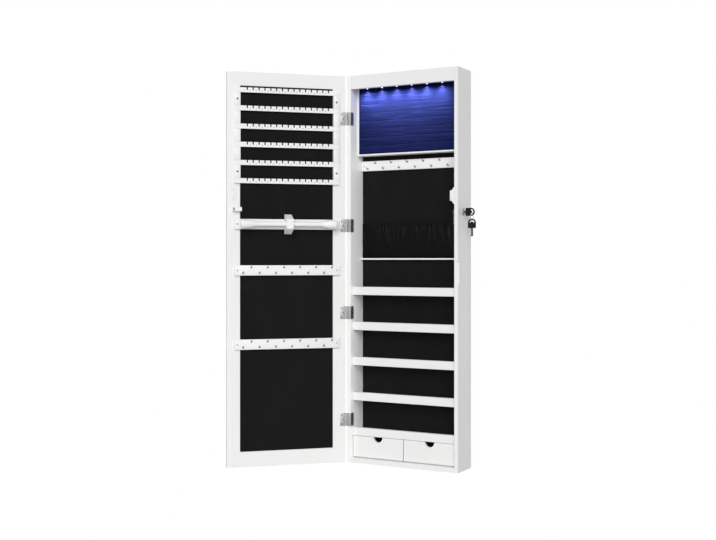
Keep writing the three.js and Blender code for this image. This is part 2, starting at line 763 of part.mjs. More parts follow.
/** A key lying along X with the bow's near end at 0, the blade pointing to -X and the teeth up. */
function keyShape() {
  const half = BOW_WIDTH / 2;
  const far = BOW_LENGTH - half;
  const bow = new THREE.Shape();
  bow.moveTo(0, -half + BOW_CORNER);
  bow.absarc(BOW_CORNER, -half + BOW_CORNER, BOW_CORNER, Math.PI, Math.PI * 1.5);
  bow.absarc(far, 0, half, -Math.PI / 2, Math.PI / 2);
  bow.absarc(BOW_CORNER, half - BOW_CORNER, BOW_CORNER, Math.PI / 2, Math.PI);
  const hole = new THREE.Path();
  hole.absarc(BOW_LENGTH - BOW_HOLE_INSET, 0, BOW_HOLE_RADIUS, 0, 2 * Math.PI);
  bow.holes.push(hole);
  const top = BLADE_WIDTH / 2;
  const notchPitch = (BLADE_LENGTH - 7) / BLADE_NOTCH_COUNT;
  const teeth = [];
  for (let notch = 0; notch < BLADE_NOTCH_COUNT; notch += 1) {
    const start = -4 - notch * notchPitch;
    const depth = BLADE_NOTCH * (notch % 2 ? 1 : 0.6);
    teeth.push([start, top], [start - notchPitch / 2, top - depth]);
  }
  const blade = outline([
    [1, -top],
    [1, top],
    ...teeth,
    [-BLADE_LENGTH + 2, top - 0.5],
    [-BLADE_LENGTH, 0],
    [-BLADE_LENGTH + 2, -top],
  ]);
  const flat = (shape, thickness) => extrudeY(shape, -thickness / 2, thickness / 2);
  return joined(flat(bow, BOW_THICKNESS), flat(blade, BLADE_THICKNESS));
}

function keys() {
  const ring = new THREE.LatheGeometry(
    Array.from({ length: 7 }, (_, step) => {
      const angle = (2 * Math.PI * step) / 6;
      return new THREE.Vector2(
        RING_RADIUS + RING_WIRE_RADIUS * Math.cos(angle),
        RING_WIRE_RADIUS * Math.sin(angle),
      );
    }),
    RING_STEPS,
  ).rotateZ(-Math.PI / 2);
  const spare = keyShape()
    .translate(-(BOW_LENGTH - BOW_HOLE_INSET), 0, 0)
    .rotateY(-Math.PI / 2)
    .translate(bowHoleX, lockY, spareHoleZ);
  return {
    key: piece("key", keyShape().translate(bowNearX, lockY, lockHeight), blackPlastic),
    ring: piece("key_ring", ring.translate(bowHoleX, lockY, ringTopZ - RING_RADIUS), steel),
    spare: piece("spare_key", spare, blackPlastic),
  };
}

function magneticCatch() {
  const wall = innerHalf - FIT;
  const tip = innerHalf - CATCH_REACH;
  const shape = outline([
    [wall, catchHeight - CATCH_LENGTH / 2],
    [wall, catchHeight + CATCH_LENGTH / 2],
    [tip, catchHeight + CATCH_PLATEAU / 2],
    [tip, catchHeight - CATCH_PLATEAU / 2],
  ]);
  const middle = (wall + tip) / 2;
  const magnet = (extra, y0, y1) =>
    block(
      middle - MAGNET_WIDTH / 2 - extra,
      middle + MAGNET_WIDTH / 2 + extra,
      y0,
      y1,
      catchHeight - MAGNET_LENGTH / 2 - extra,
      catchHeight + MAGNET_LENGTH / 2 + extra,
    );
  const face = frontY - (DOOR_GAP - 2 * FIT - PLATE_THICKNESS);
  const body = extrudeY(shape, frontY, frontY + CATCH_DEPTH);
  return [
    piece(
      "catch_housing",
      cut(body, magnet(FIT, frontY - 1, frontY + MAGNET_DEPTH + FIT)),
      whitePlastic,
    ),
    piece("catch_magnet", magnet(0, face, frontY + MAGNET_DEPTH), magnetBlack),
  ];
}

// ---------------------------------------------------------------- hinges

const hingeHeights = [
  HINGE_END_INSET,
  CABINET_HEIGHT / 2 - HINGE_MIDDLE_OFFSET,
  CABINET_HEIGHT / 2 + HINGE_MIDDLE_OFFSET,
  CABINET_HEIGHT - HINGE_END_INSET,
];

/** Start and end heights of one knuckle of a hinge whose middle is at z. */
function knuckleSpan(z, index) {
  const length = HINGE_HEIGHT / KNUCKLE_COUNT;
  const low = z - HINGE_HEIGHT / 2 + index * length;
  return [low + FIT / 2, low + length - FIT / 2];
}

/** Cabinet leaf: folded over the side panel's front edge; the odd knuckles and the pin are its. */
function cabinetLeaf(z, name) {
  const axisX = -halfWidth - hingeAxisX;
  const axisY = frontY - hingeAxisY;
  const low = z - HINGE_HEIGHT / 2;
  const high = z + HINGE_HEIGHT / 2;
  const face = frontY - FIT;
  const inner = -innerHalf + FIT;
  const edge = -halfWidth + leafGap;
  const parts = [
    block(edge, inner + LEAF_THICKNESS, face - LEAF_THICKNESS, face, low, high),
    block(
      inner,
      inner + LEAF_THICKNESS,
      face - LEAF_THICKNESS,
      frontY + CABINET_LEAF_RETURN,
      low,
      high,
    ),
    uprightRod(PIN_RADIUS, axisX, axisY, low, high, 12),
  ];
  for (let index = 0; index < KNUCKLE_COUNT; index += 2) {
    const [z0, z1] = knuckleSpan(z, index);
    parts.push(uprightRod(KNUCKLE_RADIUS, axisX, axisY, z0, z1, 16));
    parts.push(block(axisX, edge + 1, face - LEAF_THICKNESS, face, z0, z1));
  }
  return piece(name, joined(...parts), steel);
}

/** Door leaf, in the door's own frame: flat on the inner face, with the even knuckles. */
function doorLeaf(z, name) {
  const low = z - HINGE_HEIGHT / 2;
  const high = z + HINGE_HEIGHT / 2;
  const parts = [block(leafGap, DOOR_LEAF_WIDTH, FIT, FIT + LEAF_THICKNESS, low, high)];
  const bores = [];
  for (let index = 1; index < KNUCKLE_COUNT; index += 2) {
    const [z0, z1] = knuckleSpan(z, index);
    parts.push(uprightRod(KNUCKLE_RADIUS, -hingeAxisX, hingeAxisY, z0, z1, 16));
    parts.push(block(-hingeAxisX, leafGap + 1, FIT, FIT + LEAF_THICKNESS, z0, z1));
    bores.push(uprightRod(PIN_RADIUS + PIN_CLEARANCE, -hingeAxisX, hingeAxisY, z0 - 1, z1 + 1, 12));
  }
  return piece(name, cut(joined(...parts), ...bores), steel);
}

// ---------------------------------------------------------------- door
// In the door's frame X runs from its hinge edge, +Y points into the cabinet from its inner face.

function doorFrame() {
  const rebate = MIRROR_THICKNESS + 2 * FIT;
  const outer = -DOOR_THICKNESS;
  const top = doorHeight;
  const mirrorSpan = block(
    MIRROR_BORDER - FIT,
    doorWidth - MIRROR_BORDER + FIT,
    outer - 1,
    outer + rebate,
    MIRROR_BORDER - FIT,
    top - MIRROR_BORDER + FIT,
  );
  const step = block(
    doorWidth - EDGE_STEP_WIDTH,
    doorWidth + 1,
    -EDGE_STEP_DEPTH,
    1,
    -1,
    top + 1,
  );
  const railLeft = STILE_WIDTH + FIT;
  const railRight = doorWidth - STILE_WIDTH - FIT;
  const rail = (z0, z1) => cut(block(railLeft, railRight, outer, 0, z0, z1), mirrorSpan);
  return [
    piece(
      "door_stile_hinge",
      cut(block(0, STILE_WIDTH, outer, 0, 0, top), mirrorSpan),
      whiteLacquer,
    ),
    piece(
      "door_stile_lock",
      cut(block(doorWidth - STILE_WIDTH, doorWidth, outer, 0, 0, top), mirrorSpan, step),
      whiteLacquer,
    ),
    piece("door_rail_bottom", rail(0, BOTTOM_RAIL_HEIGHT), whiteLacquer),
    piece("door_rail_top", rail(top - TOP_RAIL_HEIGHT, top), whiteLacquer),
  ];
}

function doorPanels() {
  const x0 = STILE_WIDTH + FIT;
  const x1 = doorWidth - STILE_WIDTH - FIT;
  const z0 = BOTTOM_RAIL_HEIGHT + FIT;
  const z1 = doorHeight - TOP_RAIL_HEIGHT - FIT;
  const velvetBack = -VELVET_RECESS - VELVET_THICKNESS;
  const mirrorBack = -DOOR_THICKNESS + FIT + MIRROR_THICKNESS;
  return [
    piece("door_velvet", block(x0, x1, velvetBack, -VELVET_RECESS, z0, z1), blackVelvet),
    piece(
      "door_core_board",
      block(x0, x1, mirrorBack + FIT, velvetBack - FIT, z0, z1),
      hardboard,
    ),
    piece(
      "door_mirror",
      block(
        MIRROR_BORDER,
        doorWidth - MIRROR_BORDER,
        mirrorBack - MIRROR_THICKNESS,
        mirrorBack,
        MIRROR_BORDER,
        doorHeight - MIRROR_BORDER,
      ),
      mirrorGlass,
    ),
  ];
}

function earringRack() {
  const left = DOOR_BAR_INSET;
  const right = doorWidth - DOOR_BAR_INSET;
  const face = FIT + RACK_THICKNESS;
  const rails = [
    block(left, left + RACK_RAIL_WIDTH, FIT, face, rackBottom, rackTop),
    block(right - RACK_RAIL_WIDTH, right, FIT, face, rackBottom, rackTop),
  ];
  const strips = Array.from({ length: STRIP_COUNT }, (_, index) => {
    const high = rackTop - index * STRIP_PITCH;
    const low = high - STRIP_HEIGHT;
    const points = [
      [left + 1, high],
      [left + 1, low],
      [right - 1, low],
      [right - 1, high],
    ];
    for (const offset of spaced(SLOT_COUNT, SLOT_PITCH).reverse()) {
      const x = doorWidth / 2 - SLOT_SHIFT + offset;
      points.push(
        [x + SLOT_WIDTH / 2, high],
        [x + SLOT_WIDTH / 2, high - SLOT_DEPTH],
        [x - SLOT_WIDTH / 2, high - SLOT_DEPTH],
        [x - SLOT_WIDTH / 2, high],
      );
    }
    return extrudeY(outline(points), face - STRIP_THICKNESS, face);
  });
  return piece("earring_rack", joined(...rails, ...strips), whitePlastic);
}

const doorBar = (middle) =>
  block(
    DOOR_BAR_INSET,
    doorWidth - DOOR_BAR_INSET,
    FIT,
    FIT + DOOR_BAR_THICKNESS,
    middle - BAR_HEIGHT / 2,
    middle + BAR_HEIGHT / 2,
  );

function doorHookBars() {
  return [
    ["hook_bar_upper", upperBarHeight],
    ["hook_bar_lower", upperBarHeight - DOOR_BAR_PITCH],
  ].map(([name, middle]) => {
    const row = hooks(doorWidth / 2, middle, DOOR_HOOK_PITCH, 1);
    const front = FIT + DOOR_BAR_THICKNESS;
    return piece(
      name,
      joined(doorBar(middle), ...row.map((g) => g.translate(0, front, 0))),
      whitePlastic,
    );
  });
}

function braceletHolder() {
  const foot = 2 * FIT + DOOR_BAR_THICKNESS;
  const shape = outline([
    [foot, braceletHeight - BRACKET_FOOT_HEIGHT / 2],
    [foot + 4, braceletHeight - BRACKET_FOOT_HEIGHT / 2],
    [BRACKET_DEPTH, braceletHeight - BRACKET_FRONT_HEIGHT / 2],
    [BRACKET_DEPTH, braceletHeight + BRACKET_FRONT_HEIGHT / 2],
    [foot + 4, braceletHeight + BRACKET_FOOT_HEIGHT / 2],
    [foot, braceletHeight + BRACKET_FOOT_HEIGHT / 2],
  ]);
  const middle = doorWidth / 2;
  const bore = turnX([
    [0, -BRACKET_WIDTH],
    [ROD_RADIUS + FIT, -BRACKET_WIDTH],
    [ROD_RADIUS + FIT, BRACKET_WIDTH],
    [0, BRACKET_WIDTH],
  ]).translate(middle, ROD_STANDOFF, braceletHeight);
  const half = middle - ROD_INSET;
  const rounding = ROD_END_RADIUS / 2;
  const endProfile = [
    [0, half],
    [ROD_END_RADIUS * 0.6, half - rounding * 0.15],
    [ROD_END_RADIUS, half - rounding],
    [ROD_END_RADIUS, half - ROD_END_LENGTH * 0.6],
    [ROD_RADIUS, half - ROD_END_LENGTH],
  ];
  const rod = turnX([
    ...endProfile.map(([radius, length]) => [radius, -length]),
    ...endProfile.reverse(),
  ]).translate(middle, ROD_STANDOFF, braceletHeight);
  return [
    piece("bracelet_bar", doorBar(braceletHeight), whitePlastic),
    piece(
      "bracelet_bracket",
      cut(extrudeX(shape, middle - BRACKET_WIDTH / 2, middle + BRACKET_WIDTH / 2), bore),
      whitePlastic,
    ),
    piece("bracelet_rod", rod, whitePlastic),
  ];
}

function lockStrike() {
  const x1 = doorWidth - STRIKE_EDGE_INSET;
  const x0 = x1 - STRIKE_WIDTH;
  return piece(
    "lock_strike",
    cut(
      block(x0, x1, FIT, STRIKE_DEPTH, strikeBottom, strikeBottom + STRIKE_HEIGHT),
      block(
        x0 + STRIKE_ROOF,
        x1 - STRIKE_ROOF,
        STRIKE_BACK,
        STRIKE_DEPTH - STRIKE_BAR,
        strikeBottom - 1,
        strikeBottom + STRIKE_HEIGHT - STRIKE_ROOF,
      ),
    ),
    whitePlastic,
  );
}

function catchPlate() {
  const middle = halfWidth + innerHalf - (CATCH_REACH + FIT) / 2;
  return piece(
    "catch_plate",
    block(
      middle - PLATE_WIDTH / 2,
      middle + PLATE_WIDTH / 2,
      FIT,
      FIT + PLATE_THICKNESS,
      catchHeight + PLATE_RISE - PLATE_LENGTH / 2,
      catchHeight + PLATE_RISE + PLATE_LENGTH / 2,
    ),
    whiteLacquer,
  );
}

// ---------------------------------------------------------------- assembly

const carcass = new THREE.Group();
carcass.add(
  ...sidePanels(),
  ...endPanels(),
  ...backPanels(),
  ...battens(),
  ...lamps(),
  ...ringTray(),
  necklaceBar(),
  pocketCloth(),
  pocketLedge(),
  ...shelves(),
  ...drawers(),
  ...lockBody(),
  ...magneticCatch(),
  ...hingeHeights.map((z, index) => cabinetLeaf(z, `hinge_cabinet_leaf_${index + 1}`)),
);

const { key, ring, spare } = keys();
const lockParts = new THREE.Group();
lockParts.add(lockPlug(), lockCam(), key, ring, spare);

const door = new THREE.Group();
door.add(
  ...doorFrame(),
  ...doorPanels(),
  earringRack(),
  ...doorHookBars(),
  ...braceletHolder(),
  lockStrike(),
  catchPlate(),
  ...hingeHeights.map((z, index) => doorLeaf(z, `hinge_door_leaf_${index + 1}`)),
);
door.position.set(hingeAxisX, -hingeAxisY, 0);

const doorPivot = new THREE.Group();
doorPivot.position.set(-halfWidth - hingeAxisX, frontY - hingeAxisY, 0);
doorPivot.rotation.z = THREE.MathUtils.degToRad(-DOOR_OPEN_ANGLE);
doorPivot.add(door);

const cabinet = new THREE.Group();
cabinet.add(carcass, lockParts, doorPivot);
cabinet.position.z = -battenMiddle;

export default cabinet;
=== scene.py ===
"""Wall-hung jewelry cabinet with a full-length mirror door, dressed for rendering.

Sizes in the classes are millimetres in a mount's own axes: X runs across and Z up, and Y
runs from the front of the work into the panel behind it. Every mesh ends up in metres, in
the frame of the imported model.
"""

import itertools
import logging
import math
import random
from dataclasses import dataclass, field
from enum import Enum
from typing import Callable, Optional, Sequence

import bmesh
import bpy
from mathutils import Matrix, Vector


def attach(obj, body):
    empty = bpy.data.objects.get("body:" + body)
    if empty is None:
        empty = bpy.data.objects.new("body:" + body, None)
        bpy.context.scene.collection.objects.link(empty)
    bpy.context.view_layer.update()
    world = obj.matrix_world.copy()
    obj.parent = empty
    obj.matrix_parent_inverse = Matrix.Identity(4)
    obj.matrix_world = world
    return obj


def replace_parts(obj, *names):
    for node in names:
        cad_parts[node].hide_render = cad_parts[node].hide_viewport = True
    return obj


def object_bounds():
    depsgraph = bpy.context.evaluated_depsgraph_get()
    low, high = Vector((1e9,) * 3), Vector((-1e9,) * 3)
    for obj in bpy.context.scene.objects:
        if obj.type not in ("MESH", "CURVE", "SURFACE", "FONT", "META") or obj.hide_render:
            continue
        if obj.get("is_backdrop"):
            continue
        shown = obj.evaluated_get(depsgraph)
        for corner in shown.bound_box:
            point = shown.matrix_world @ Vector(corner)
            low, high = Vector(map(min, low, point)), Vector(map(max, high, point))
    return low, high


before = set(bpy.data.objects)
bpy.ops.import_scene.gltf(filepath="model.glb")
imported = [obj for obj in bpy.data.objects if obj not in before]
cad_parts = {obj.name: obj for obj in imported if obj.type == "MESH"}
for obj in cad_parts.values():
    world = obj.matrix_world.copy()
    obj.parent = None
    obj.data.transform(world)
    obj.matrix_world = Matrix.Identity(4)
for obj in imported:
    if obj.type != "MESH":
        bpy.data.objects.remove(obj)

LOG = logging.getLogger("jewelry_cabinet")
MM = 0.001
HEIGHT = 1200.0
HALF_WIDTH = 186.0
HALF_INSIDE = 173.7
DEPTH = 100.0
HANGING_HEIGHT = 1154.7
LOCK_DEPTH = 40.0
LOCK_HEIGHT = 771.5

Colour = tuple[float, float, float]
Point = tuple[float, float, float]
Outline = list[tuple[float, float]]
Profile = Sequence[tuple[float, float]]

WHITE: Colour = (1.0, 1.0, 1.0)
FORWARD: Point = (0.0, -1.0, 0.0)
BACKWARD: Point = (0.0, 1.0, 0.0)
RIGHTWARD: Point = (1.0, 0.0, 0.0)
DOWNWARD: Point = (0.0, 0.0, -1.0)


class Slot(Enum):
    """The material slots of the record."""

    LACQUER = "white_lacquer"
    PLASTIC = "white_plastic"
    VELVET = "black_velvet"
    SATIN = "pocket_satin"
    ROLLS = "ring_foam"
    BOARD = "hardboard"
    MIRROR = "mirror"
    STEEL = "steel"
    BLACK = "black_plastic"
    LAMP = "lamp_plastic"


class Body(Enum):
    """The moving bodies of the cabinet."""

    CABINET = "cabinet"
    DRAWER_LEFT = "drawer_left"
    DRAWER_RIGHT = "drawer_right"
    LOCK = "lock_rotor"
    RING = "key_ring"
    SPARE = "spare_key"
    DOOR = "door"


@dataclass(frozen=True)
class Mount:
    """The axes that a sub-assembly is drawn in, and the body that carries it."""

    body: Body
    origin: Point
    turn: float = 0.0

    def matrix(self) -> Matrix:
        """Returns the matrix from the mount's millimetres to the frame's metres."""
        return (
            Matrix.Translation(Vector(self.origin) * MM)
            @ Matrix.Rotation(math.radians(self.turn), 4, "Z")
            @ Matrix.Diagonal((MM, MM, MM, 1.0))
        )

    def on(self, body: Body) -> "Mount":
        """Returns the same axes, carried by another body."""
        return Mount(body, self.origin, self.turn)


FRONT_AXES = Mount(Body.CABINET, (0.0, -DEPTH, -HANGING_HEIGHT))
DOOR_AXES = Mount(Body.DOOR, (-323.33, -233.93, -HANGING_HEIGHT), 45.0)


# ------------------------------------------------------------------------ node materials


class Nodes:
    """A node tree while it is put together."""

    def __init__(self, tree: bpy.types.NodeTree) -> None:
        """Starts on a tree.

        Args:
            tree: The tree that gets the nodes.
        """
        self.tree = tree

    def node(self, kind: str, settings: Optional[dict] = None, **sockets: object) -> bpy.types.Node:
        """Adds a node and fills its sockets.

        Args:
            kind: The node's type, without the leading ShaderNode.
            settings: Properties of the node, such as its operation.
            **sockets: Values or links by socket name, with _ for a space.

        Returns:
            The new node.
        """
        made = self.tree.nodes.new("ShaderNode" + kind)
        for key, value in (settings or {}).items():
            setattr(made, key, value)
        for key, value in sockets.items():
            self.feed(made.inputs[key.replace("_", " ")], value)
        return made

    def feed(self, socket: bpy.types.NodeSocket, value: object) -> None:
        """Links an output to a socket, or sets the socket's value."""
        if isinstance(value, bpy.types.NodeSocket):
            self.tree.links.new(value, socket)
        elif isinstance(value, tuple) and len(value) == 3 and socket.type == "RGBA":
            socket.default_value = (*value, 1.0)
        else:
            socket.default_value = value

    def remap(
        self, value: bpy.types.NodeSocket, low: float, high: float, to_low: float, to_high: float
    ) -> bpy.types.NodeSocket:
        """Maps a range of a value to another range, clamped."""
        made = self.node("MapRange", {"clamp": True}, Value=value)
        for index, number in enumerate((low, high, to_low, to_high), start=1):
            made.inputs[index].default_value = number
        return made.outputs[0]

    def mix(self, factor: object, first: object, second: object) -> bpy.types.NodeSocket:
        """Mixes two colours by a factor and returns the result."""
        made = self.node("Mix", {"data_type": "RGBA"})
        for index, value in ((0, factor), (6, first), (7, second)):
            self.feed(made.inputs[index], value)
        return made.outputs[2]

    def join(self, operation: str, first: object, second: object) -> bpy.types.NodeSocket:
        """Joins two values by an operation, such as MULTIPLY or MAXIMUM."""
        made = self.node("Math", {"operation": operation})
        self.feed(made.inputs[0], first)
        self.feed(made.inputs[1], second)
        return made.outputs[0]

    def times(self, first: object, second: object) -> bpy.types.NodeSocket:
        """Multiplies two values."""
        return self.join("MULTIPLY", first, second)

    def looked_at(self) -> bpy.types.NodeSocket:
        """Returns 1 for rays from the camera, straight or by a mirror, and 0 for others."""
        path = self.node("LightPath")
        return self.join("MAXIMUM", path.outputs["Is Camera Ray"], path.outputs["Is Glossy Ray"])


class Graph(Nodes):
    """The nodes of one material, round its shader."""

    def __init__(self, name: str) -> None:
        """Starts a material with its shader and its texture space.

        Args:
            name: The material's name.
        """
        self.material = bpy.data.materials.new(name)
        self.material.use_nodes = True
        super().__init__(self.material.node_tree)
        self.shader = self.tree.nodes["Principled BSDF"]
        self.place = self.node("TexCoord").outputs["Object"]

    def set(self, **sockets: object) -> None:
        """Fills sockets of the shader by name, with _ for a space."""
        for key, value in sockets.items():
            self.feed(self.shader.inputs[key.replace("_", " ")], value)

    def noise(
        self,
        scale: float,
        detail: float = 2.0,
        stretch: Point = (1.0, 1.0, 1.0),
        distortion: float = 0.0,
    ) -> bpy.types.NodeSocket:
        """Adds a noise in object space.

        Args:
            scale: Features per metre.
            detail: Octaves.
            stretch: Factors on the three axes.
            distortion: How far the noise is warped by itself.

        Returns:
            The noise's value, about 0 to 1.
        """
        vector = self.place
        if stretch != (1.0, 1.0, 1.0):
            vector = self.node("Mapping", Vector=self.place, Scale=stretch).outputs[0]
        made = self.node(
            "TexNoise", Vector=vector, Scale=scale, Detail=detail, Distortion=distortion
        )
        return made.outputs["Fac"]

    def rough(
        self,
        value: bpy.types.NodeSocket,
        base: float,
        below: float,
        above: float,
        low: float = 0.3,
    ) -> None:
        """Spreads the shader's roughness about a base by a noise.

        Args:
            value: The noise.
            base: The finish's own roughness.
            below: How far under the base it is where the noise is low.
            above: How far over the base it is where the noise is high.
            low: What counts as a low noise. From 0.7 it is high.
        """
        self.set(Roughness=self.remap(value, low, 0.7, base - below, base + above))

    def bump(self, *layers: tuple[bpy.types.NodeSocket, float, float]) -> None:
        """Stacks bump layers onto the shader's normal.

        Args:
            *layers: For each layer its height, strength and depth in metres.
        """
        normal = None
        for height, strength, depth in layers:
            made = self.node("Bump", Height=height, Strength=strength, Distance=depth)
            if normal is not None:
                self.feed(made.inputs["Normal"], normal)
            normal = made.outputs["Normal"]
        self.set(Normal=normal)

    def edge(self, radius: float, grain: float) -> bpy.types.NodeSocket:
        """Masks the edges of a piece, broken up by a noise.

        Args:
            radius: Reach of the wear from the edge, in metres.
            grain: Features per metre of the noise that breaks it up.

        Returns:
            A mask that is 1 on worn edges and 0 elsewhere.
        """
        rounded = self.node("Bevel", {"samples": 4}, Radius=radius).outputs[0]
        normal = self.node("NewGeometry").outputs["Normal"]
        dot = self.node("VectorMath", {"operation": "DOT_PRODUCT"})
        self.feed(dot.inputs[0], rounded)
        self.feed(dot.inputs[1], normal)
        worn = self.remap(dot.outputs["Value"], 0.995, 0.86, 0.0, 1.0)
        return self.times(worn, self.remap(self.noise(grain, 3.0), 0.42, 0.66, 0.0, 1.0))


def shaded(colour: Colour, factor: float) -> Colour:
    """Returns a colour made darker or lighter by a factor, kept within 1."""
    return tuple(min(1.0, channel * factor) for channel in colour)


_made: dict[str, bpy.types.Material] = {}


@dataclass(frozen=True)
class Finish:
    """One surface finish, made into a node material the first time that it is used."""

    name: str
    slot: Slot
    colour: Colour
    roughness: float

    def material(self) -> bpy.types.Material:
        """Returns the finish's material."""
        if self.name not in _made:
            graph = Graph(self.name)
            graph.set(Base_Color=self.colour, Roughness=self.roughness)
            self.lay(graph)
            _made[self.name] = graph.material
        return _made[self.name]

    def lay(self, graph: Graph) -> None:
        """Adds the finish's own detail to its material."""


@dataclass(frozen=True)
class Lacquer(Finish):
    """Sprayed satin lacquer: fine orange peel, soft tone drift, greyed edges."""

    peel: float = 420.0
    edge_colour: Colour = (0.62, 0.61, 0.59)
    edge_reach: float = 0.0012
    warmth: Colour = (0.985, 0.98, 0.968)

    def lay(self, graph: Graph) -> None:
        """Adds peel, drift, handling marks and edge wear."""
        drift = graph.remap(graph.noise(5.0, 3.0), 0.3, 0.7, 0.0, 1.0)
        warm = tuple(channel * factor for channel, factor in zip(self.colour, self.warmth))
        tone = graph.mix(drift, self.colour, warm)
        worn = graph.times(graph.edge(self.edge_reach, 90.0), 0.45)
        graph.set(Base_Color=graph.mix(worn, tone, self.edge_colour), IOR=1.47)
        smudge = graph.noise(28.0, 4.0, distortion=0.6)
        graph.rough(smudge, self.roughness, 0.05, 0.09, low=0.35)
        graph.bump(
            (graph.noise(self.peel, 1.0), 0.10, 0.0002),
            (graph.noise(38.0, 2.0, stretch=(1.0, 1.0, 0.35)), 0.04, 0.0006),
        )


@dataclass(frozen=True)
class MouldedPlastic(Finish):
    """Injection-moulded plastic with a faint grain and polished edges."""

    grain: float = 1300.0
    grain_strength: float = 0.12
    edge_colour: Colour = (0.72, 0.72, 0.71)
    gloss: float = 0.5

    def lay(self, graph: Graph) -> None:
        """Adds the mould's grain, flow marks and edge wear."""
        flow = graph.remap(
            graph.noise(11.0, 2.0, stretch=(0.3, 1.0, 1.0), distortion=0.8), 0.35, 0.68, 0.0, 1.0
        )
        worn = graph.times(graph.edge(0.0008, 160.0), 0.4)
        tone = graph.mix(flow, self.colour, shaded(self.colour, 0.955))
        graph.set(Base_Color=graph.mix(worn, tone, self.edge_colour), IOR=1.49)
        graph.set(Specular_IOR_Level=self.gloss)
        graph.rough(graph.noise(45.0, 3.0), self.roughness, 0.05, 0.08)
        graph.bump((graph.noise(self.grain, 1.0), self.grain_strength, 0.00012))


@dataclass(frozen=True)
class Velvet(Finish):
    """Flocked or brushed velvet: short pile, brushed patches, a soft sheen."""

    nap: Colour = (0.0145, 0.0145, 0.0148)
    pile: float = 1700.0
    sheen: float = 0.02
    brush: Point = (1.0, 1.0, 0.45)
    streak_and_highlight: float = 0.0

    def lay(self, graph: Graph) -> None:
        """Adds the pile's relief, its brushed patches, lint, and thin lighter streaks that are
        crushed pile and painted highlight.
        """
        patches = graph.remap(
            graph.noise(16.0, 4.0, stretch=self.brush, distortion=0.7), 0.38, 0.68, 0.0, 0.55
        )
        fibres = graph.remap(graph.noise(self.pile, 2.0), 0.3, 0.75, 0.0, 0.6)
        brushed = graph.mix(patches, self.colour, self.nap)
        # Thin lighter streaks along X: crushed pile, and painted highlight along the rolls.
        if self.streak_and_highlight:
            thin = graph.remap(
                graph.noise(240.0, 3.0, stretch=(0.05, 1.0, 1.0)), 0.52, 0.72, 0.0, self.streak_and_highlight
            )
            brushed = graph.mix(thin, brushed, shaded(self.nap, 2.4))
        fuzzy = graph.mix(fibres, brushed, shaded(self.colour, 0.6))
        lint = graph.remap(graph.noise(2600.0, 0.0), 0.80, 0.84, 0.0, 0.35)
        graph.set(Base_Color=graph.mix(lint, fuzzy, shaded(self.nap, 3.5)))
        graph.set(Roughness=graph.remap(patches, 0.0, 0.55, self.roughness, self.roughness - 0.08))
        graph.set(Sheen_Weight=self.sheen, Sheen_Roughness=0.4, Specular_IOR_Level=0.04)
        graph.bump(
            (graph.noise(self.pile, 2.0), 0.45, 0.0004),
            (graph.noise(30.0, 3.0, stretch=self.brush), 0.12, 0.0015),
        )


@dataclass(frozen=True)
class Satin(Finish):
    """Woven satin cloth: fine twill ribs, thread slubs and a narrow sheen."""

    nap: Colour = (0.02, 0.02, 0.022)

    def lay(self, graph: Graph) -> None:
        """Adds the twill, slubs and worn ridges."""
        twill = graph.node(
            "TexWave",
            {"wave_type": "BANDS", "bands_direction": "DIAGONAL"},
            Vector=graph.place,
            Scale=260.0,
            Distortion=0.6,
            Detail=1.0,
        ).outputs["Fac"]
        slubs = graph.remap(graph.noise(120.0, 3.0, stretch=(0.25, 1.0, 4.0)), 0.45, 0.75, 0.0, 0.6)
        graph.set(Base_Color=graph.mix(slubs, self.colour, self.nap))
        graph.rough(graph.noise(60.0, 2.0), self.roughness, 0.08, 0.1)
        graph.set(Specular_IOR_Level=0.08)
        graph.bump((twill, 0.22, 0.00018), (graph.noise(300.0, 2.0), 0.1, 0.0002))


@dataclass(frozen=True)
class PlatedSteel(Finish):
    """Nickel-plated pressed steel with brushing along its length and rubbed edges."""

    brush: Point = (1.0, 1.0, 0.03)
    tarnish: Colour = (0.30, 0.30, 0.30)
    rubbed: Colour = (0.85, 0.85, 0.84)

    def lay(self, graph: Graph) -> None:
        """Adds brushing, tarnish and bright edges."""
        lines = graph.noise(900.0, 2.0, stretch=self.brush)
        stain = graph.remap(graph.noise(70.0, 4.0), 0.48, 0.72, 0.0, 0.55)
        bright = graph.times(graph.edge(0.0005, 260.0), 0.7)
        tone = graph.mix(stain, self.colour, self.tarnish)
        graph.set(Base_Color=graph.mix(bright, tone, self.rubbed), Metallic=1.0)
        graph.rough(lines, self.roughness, 0.08, 0.12)
        graph.bump((lines, 0.10, 0.00008))


@dataclass(frozen=True)
class FibreBoard(Finish):
    """Bare hardboard or timber: fibres along one axis, flecks and dull edges."""

    grain: Point = (0.08, 1.0, 1.0)
    fleck: Colour = (0.16, 0.10, 0.055)

    def lay(self, graph: Graph) -> None:
        """Adds grain, flecks and raised fibres."""
        grain = graph.noise(160.0, 5.0, stretch=self.grain, distortion=0.5)
        dark = graph.remap(grain, 0.42, 0.72, 0.0, 0.75)
        flecks = graph.remap(graph.noise(700.0, 2.0, stretch=(0.4, 1.0, 1.0)), 0.66, 0.74, 0.0, 0.6)
        tone = graph.mix(dark, self.colour, self.fleck)
        worn = graph.times(graph.edge(0.0015, 120.0), 0.6)
        tone = graph.mix(flecks, tone, self.fleck)
        graph.set(Base_Color=graph.mix(worn, tone, shaded(self.colour, 1.5)))
        graph.rough(grain, self.roughness, 0.1, 0.05)
        graph.bump((grain, 0.25, 0.0004), (graph.noise(1100.0, 1.0), 0.12, 0.0001))


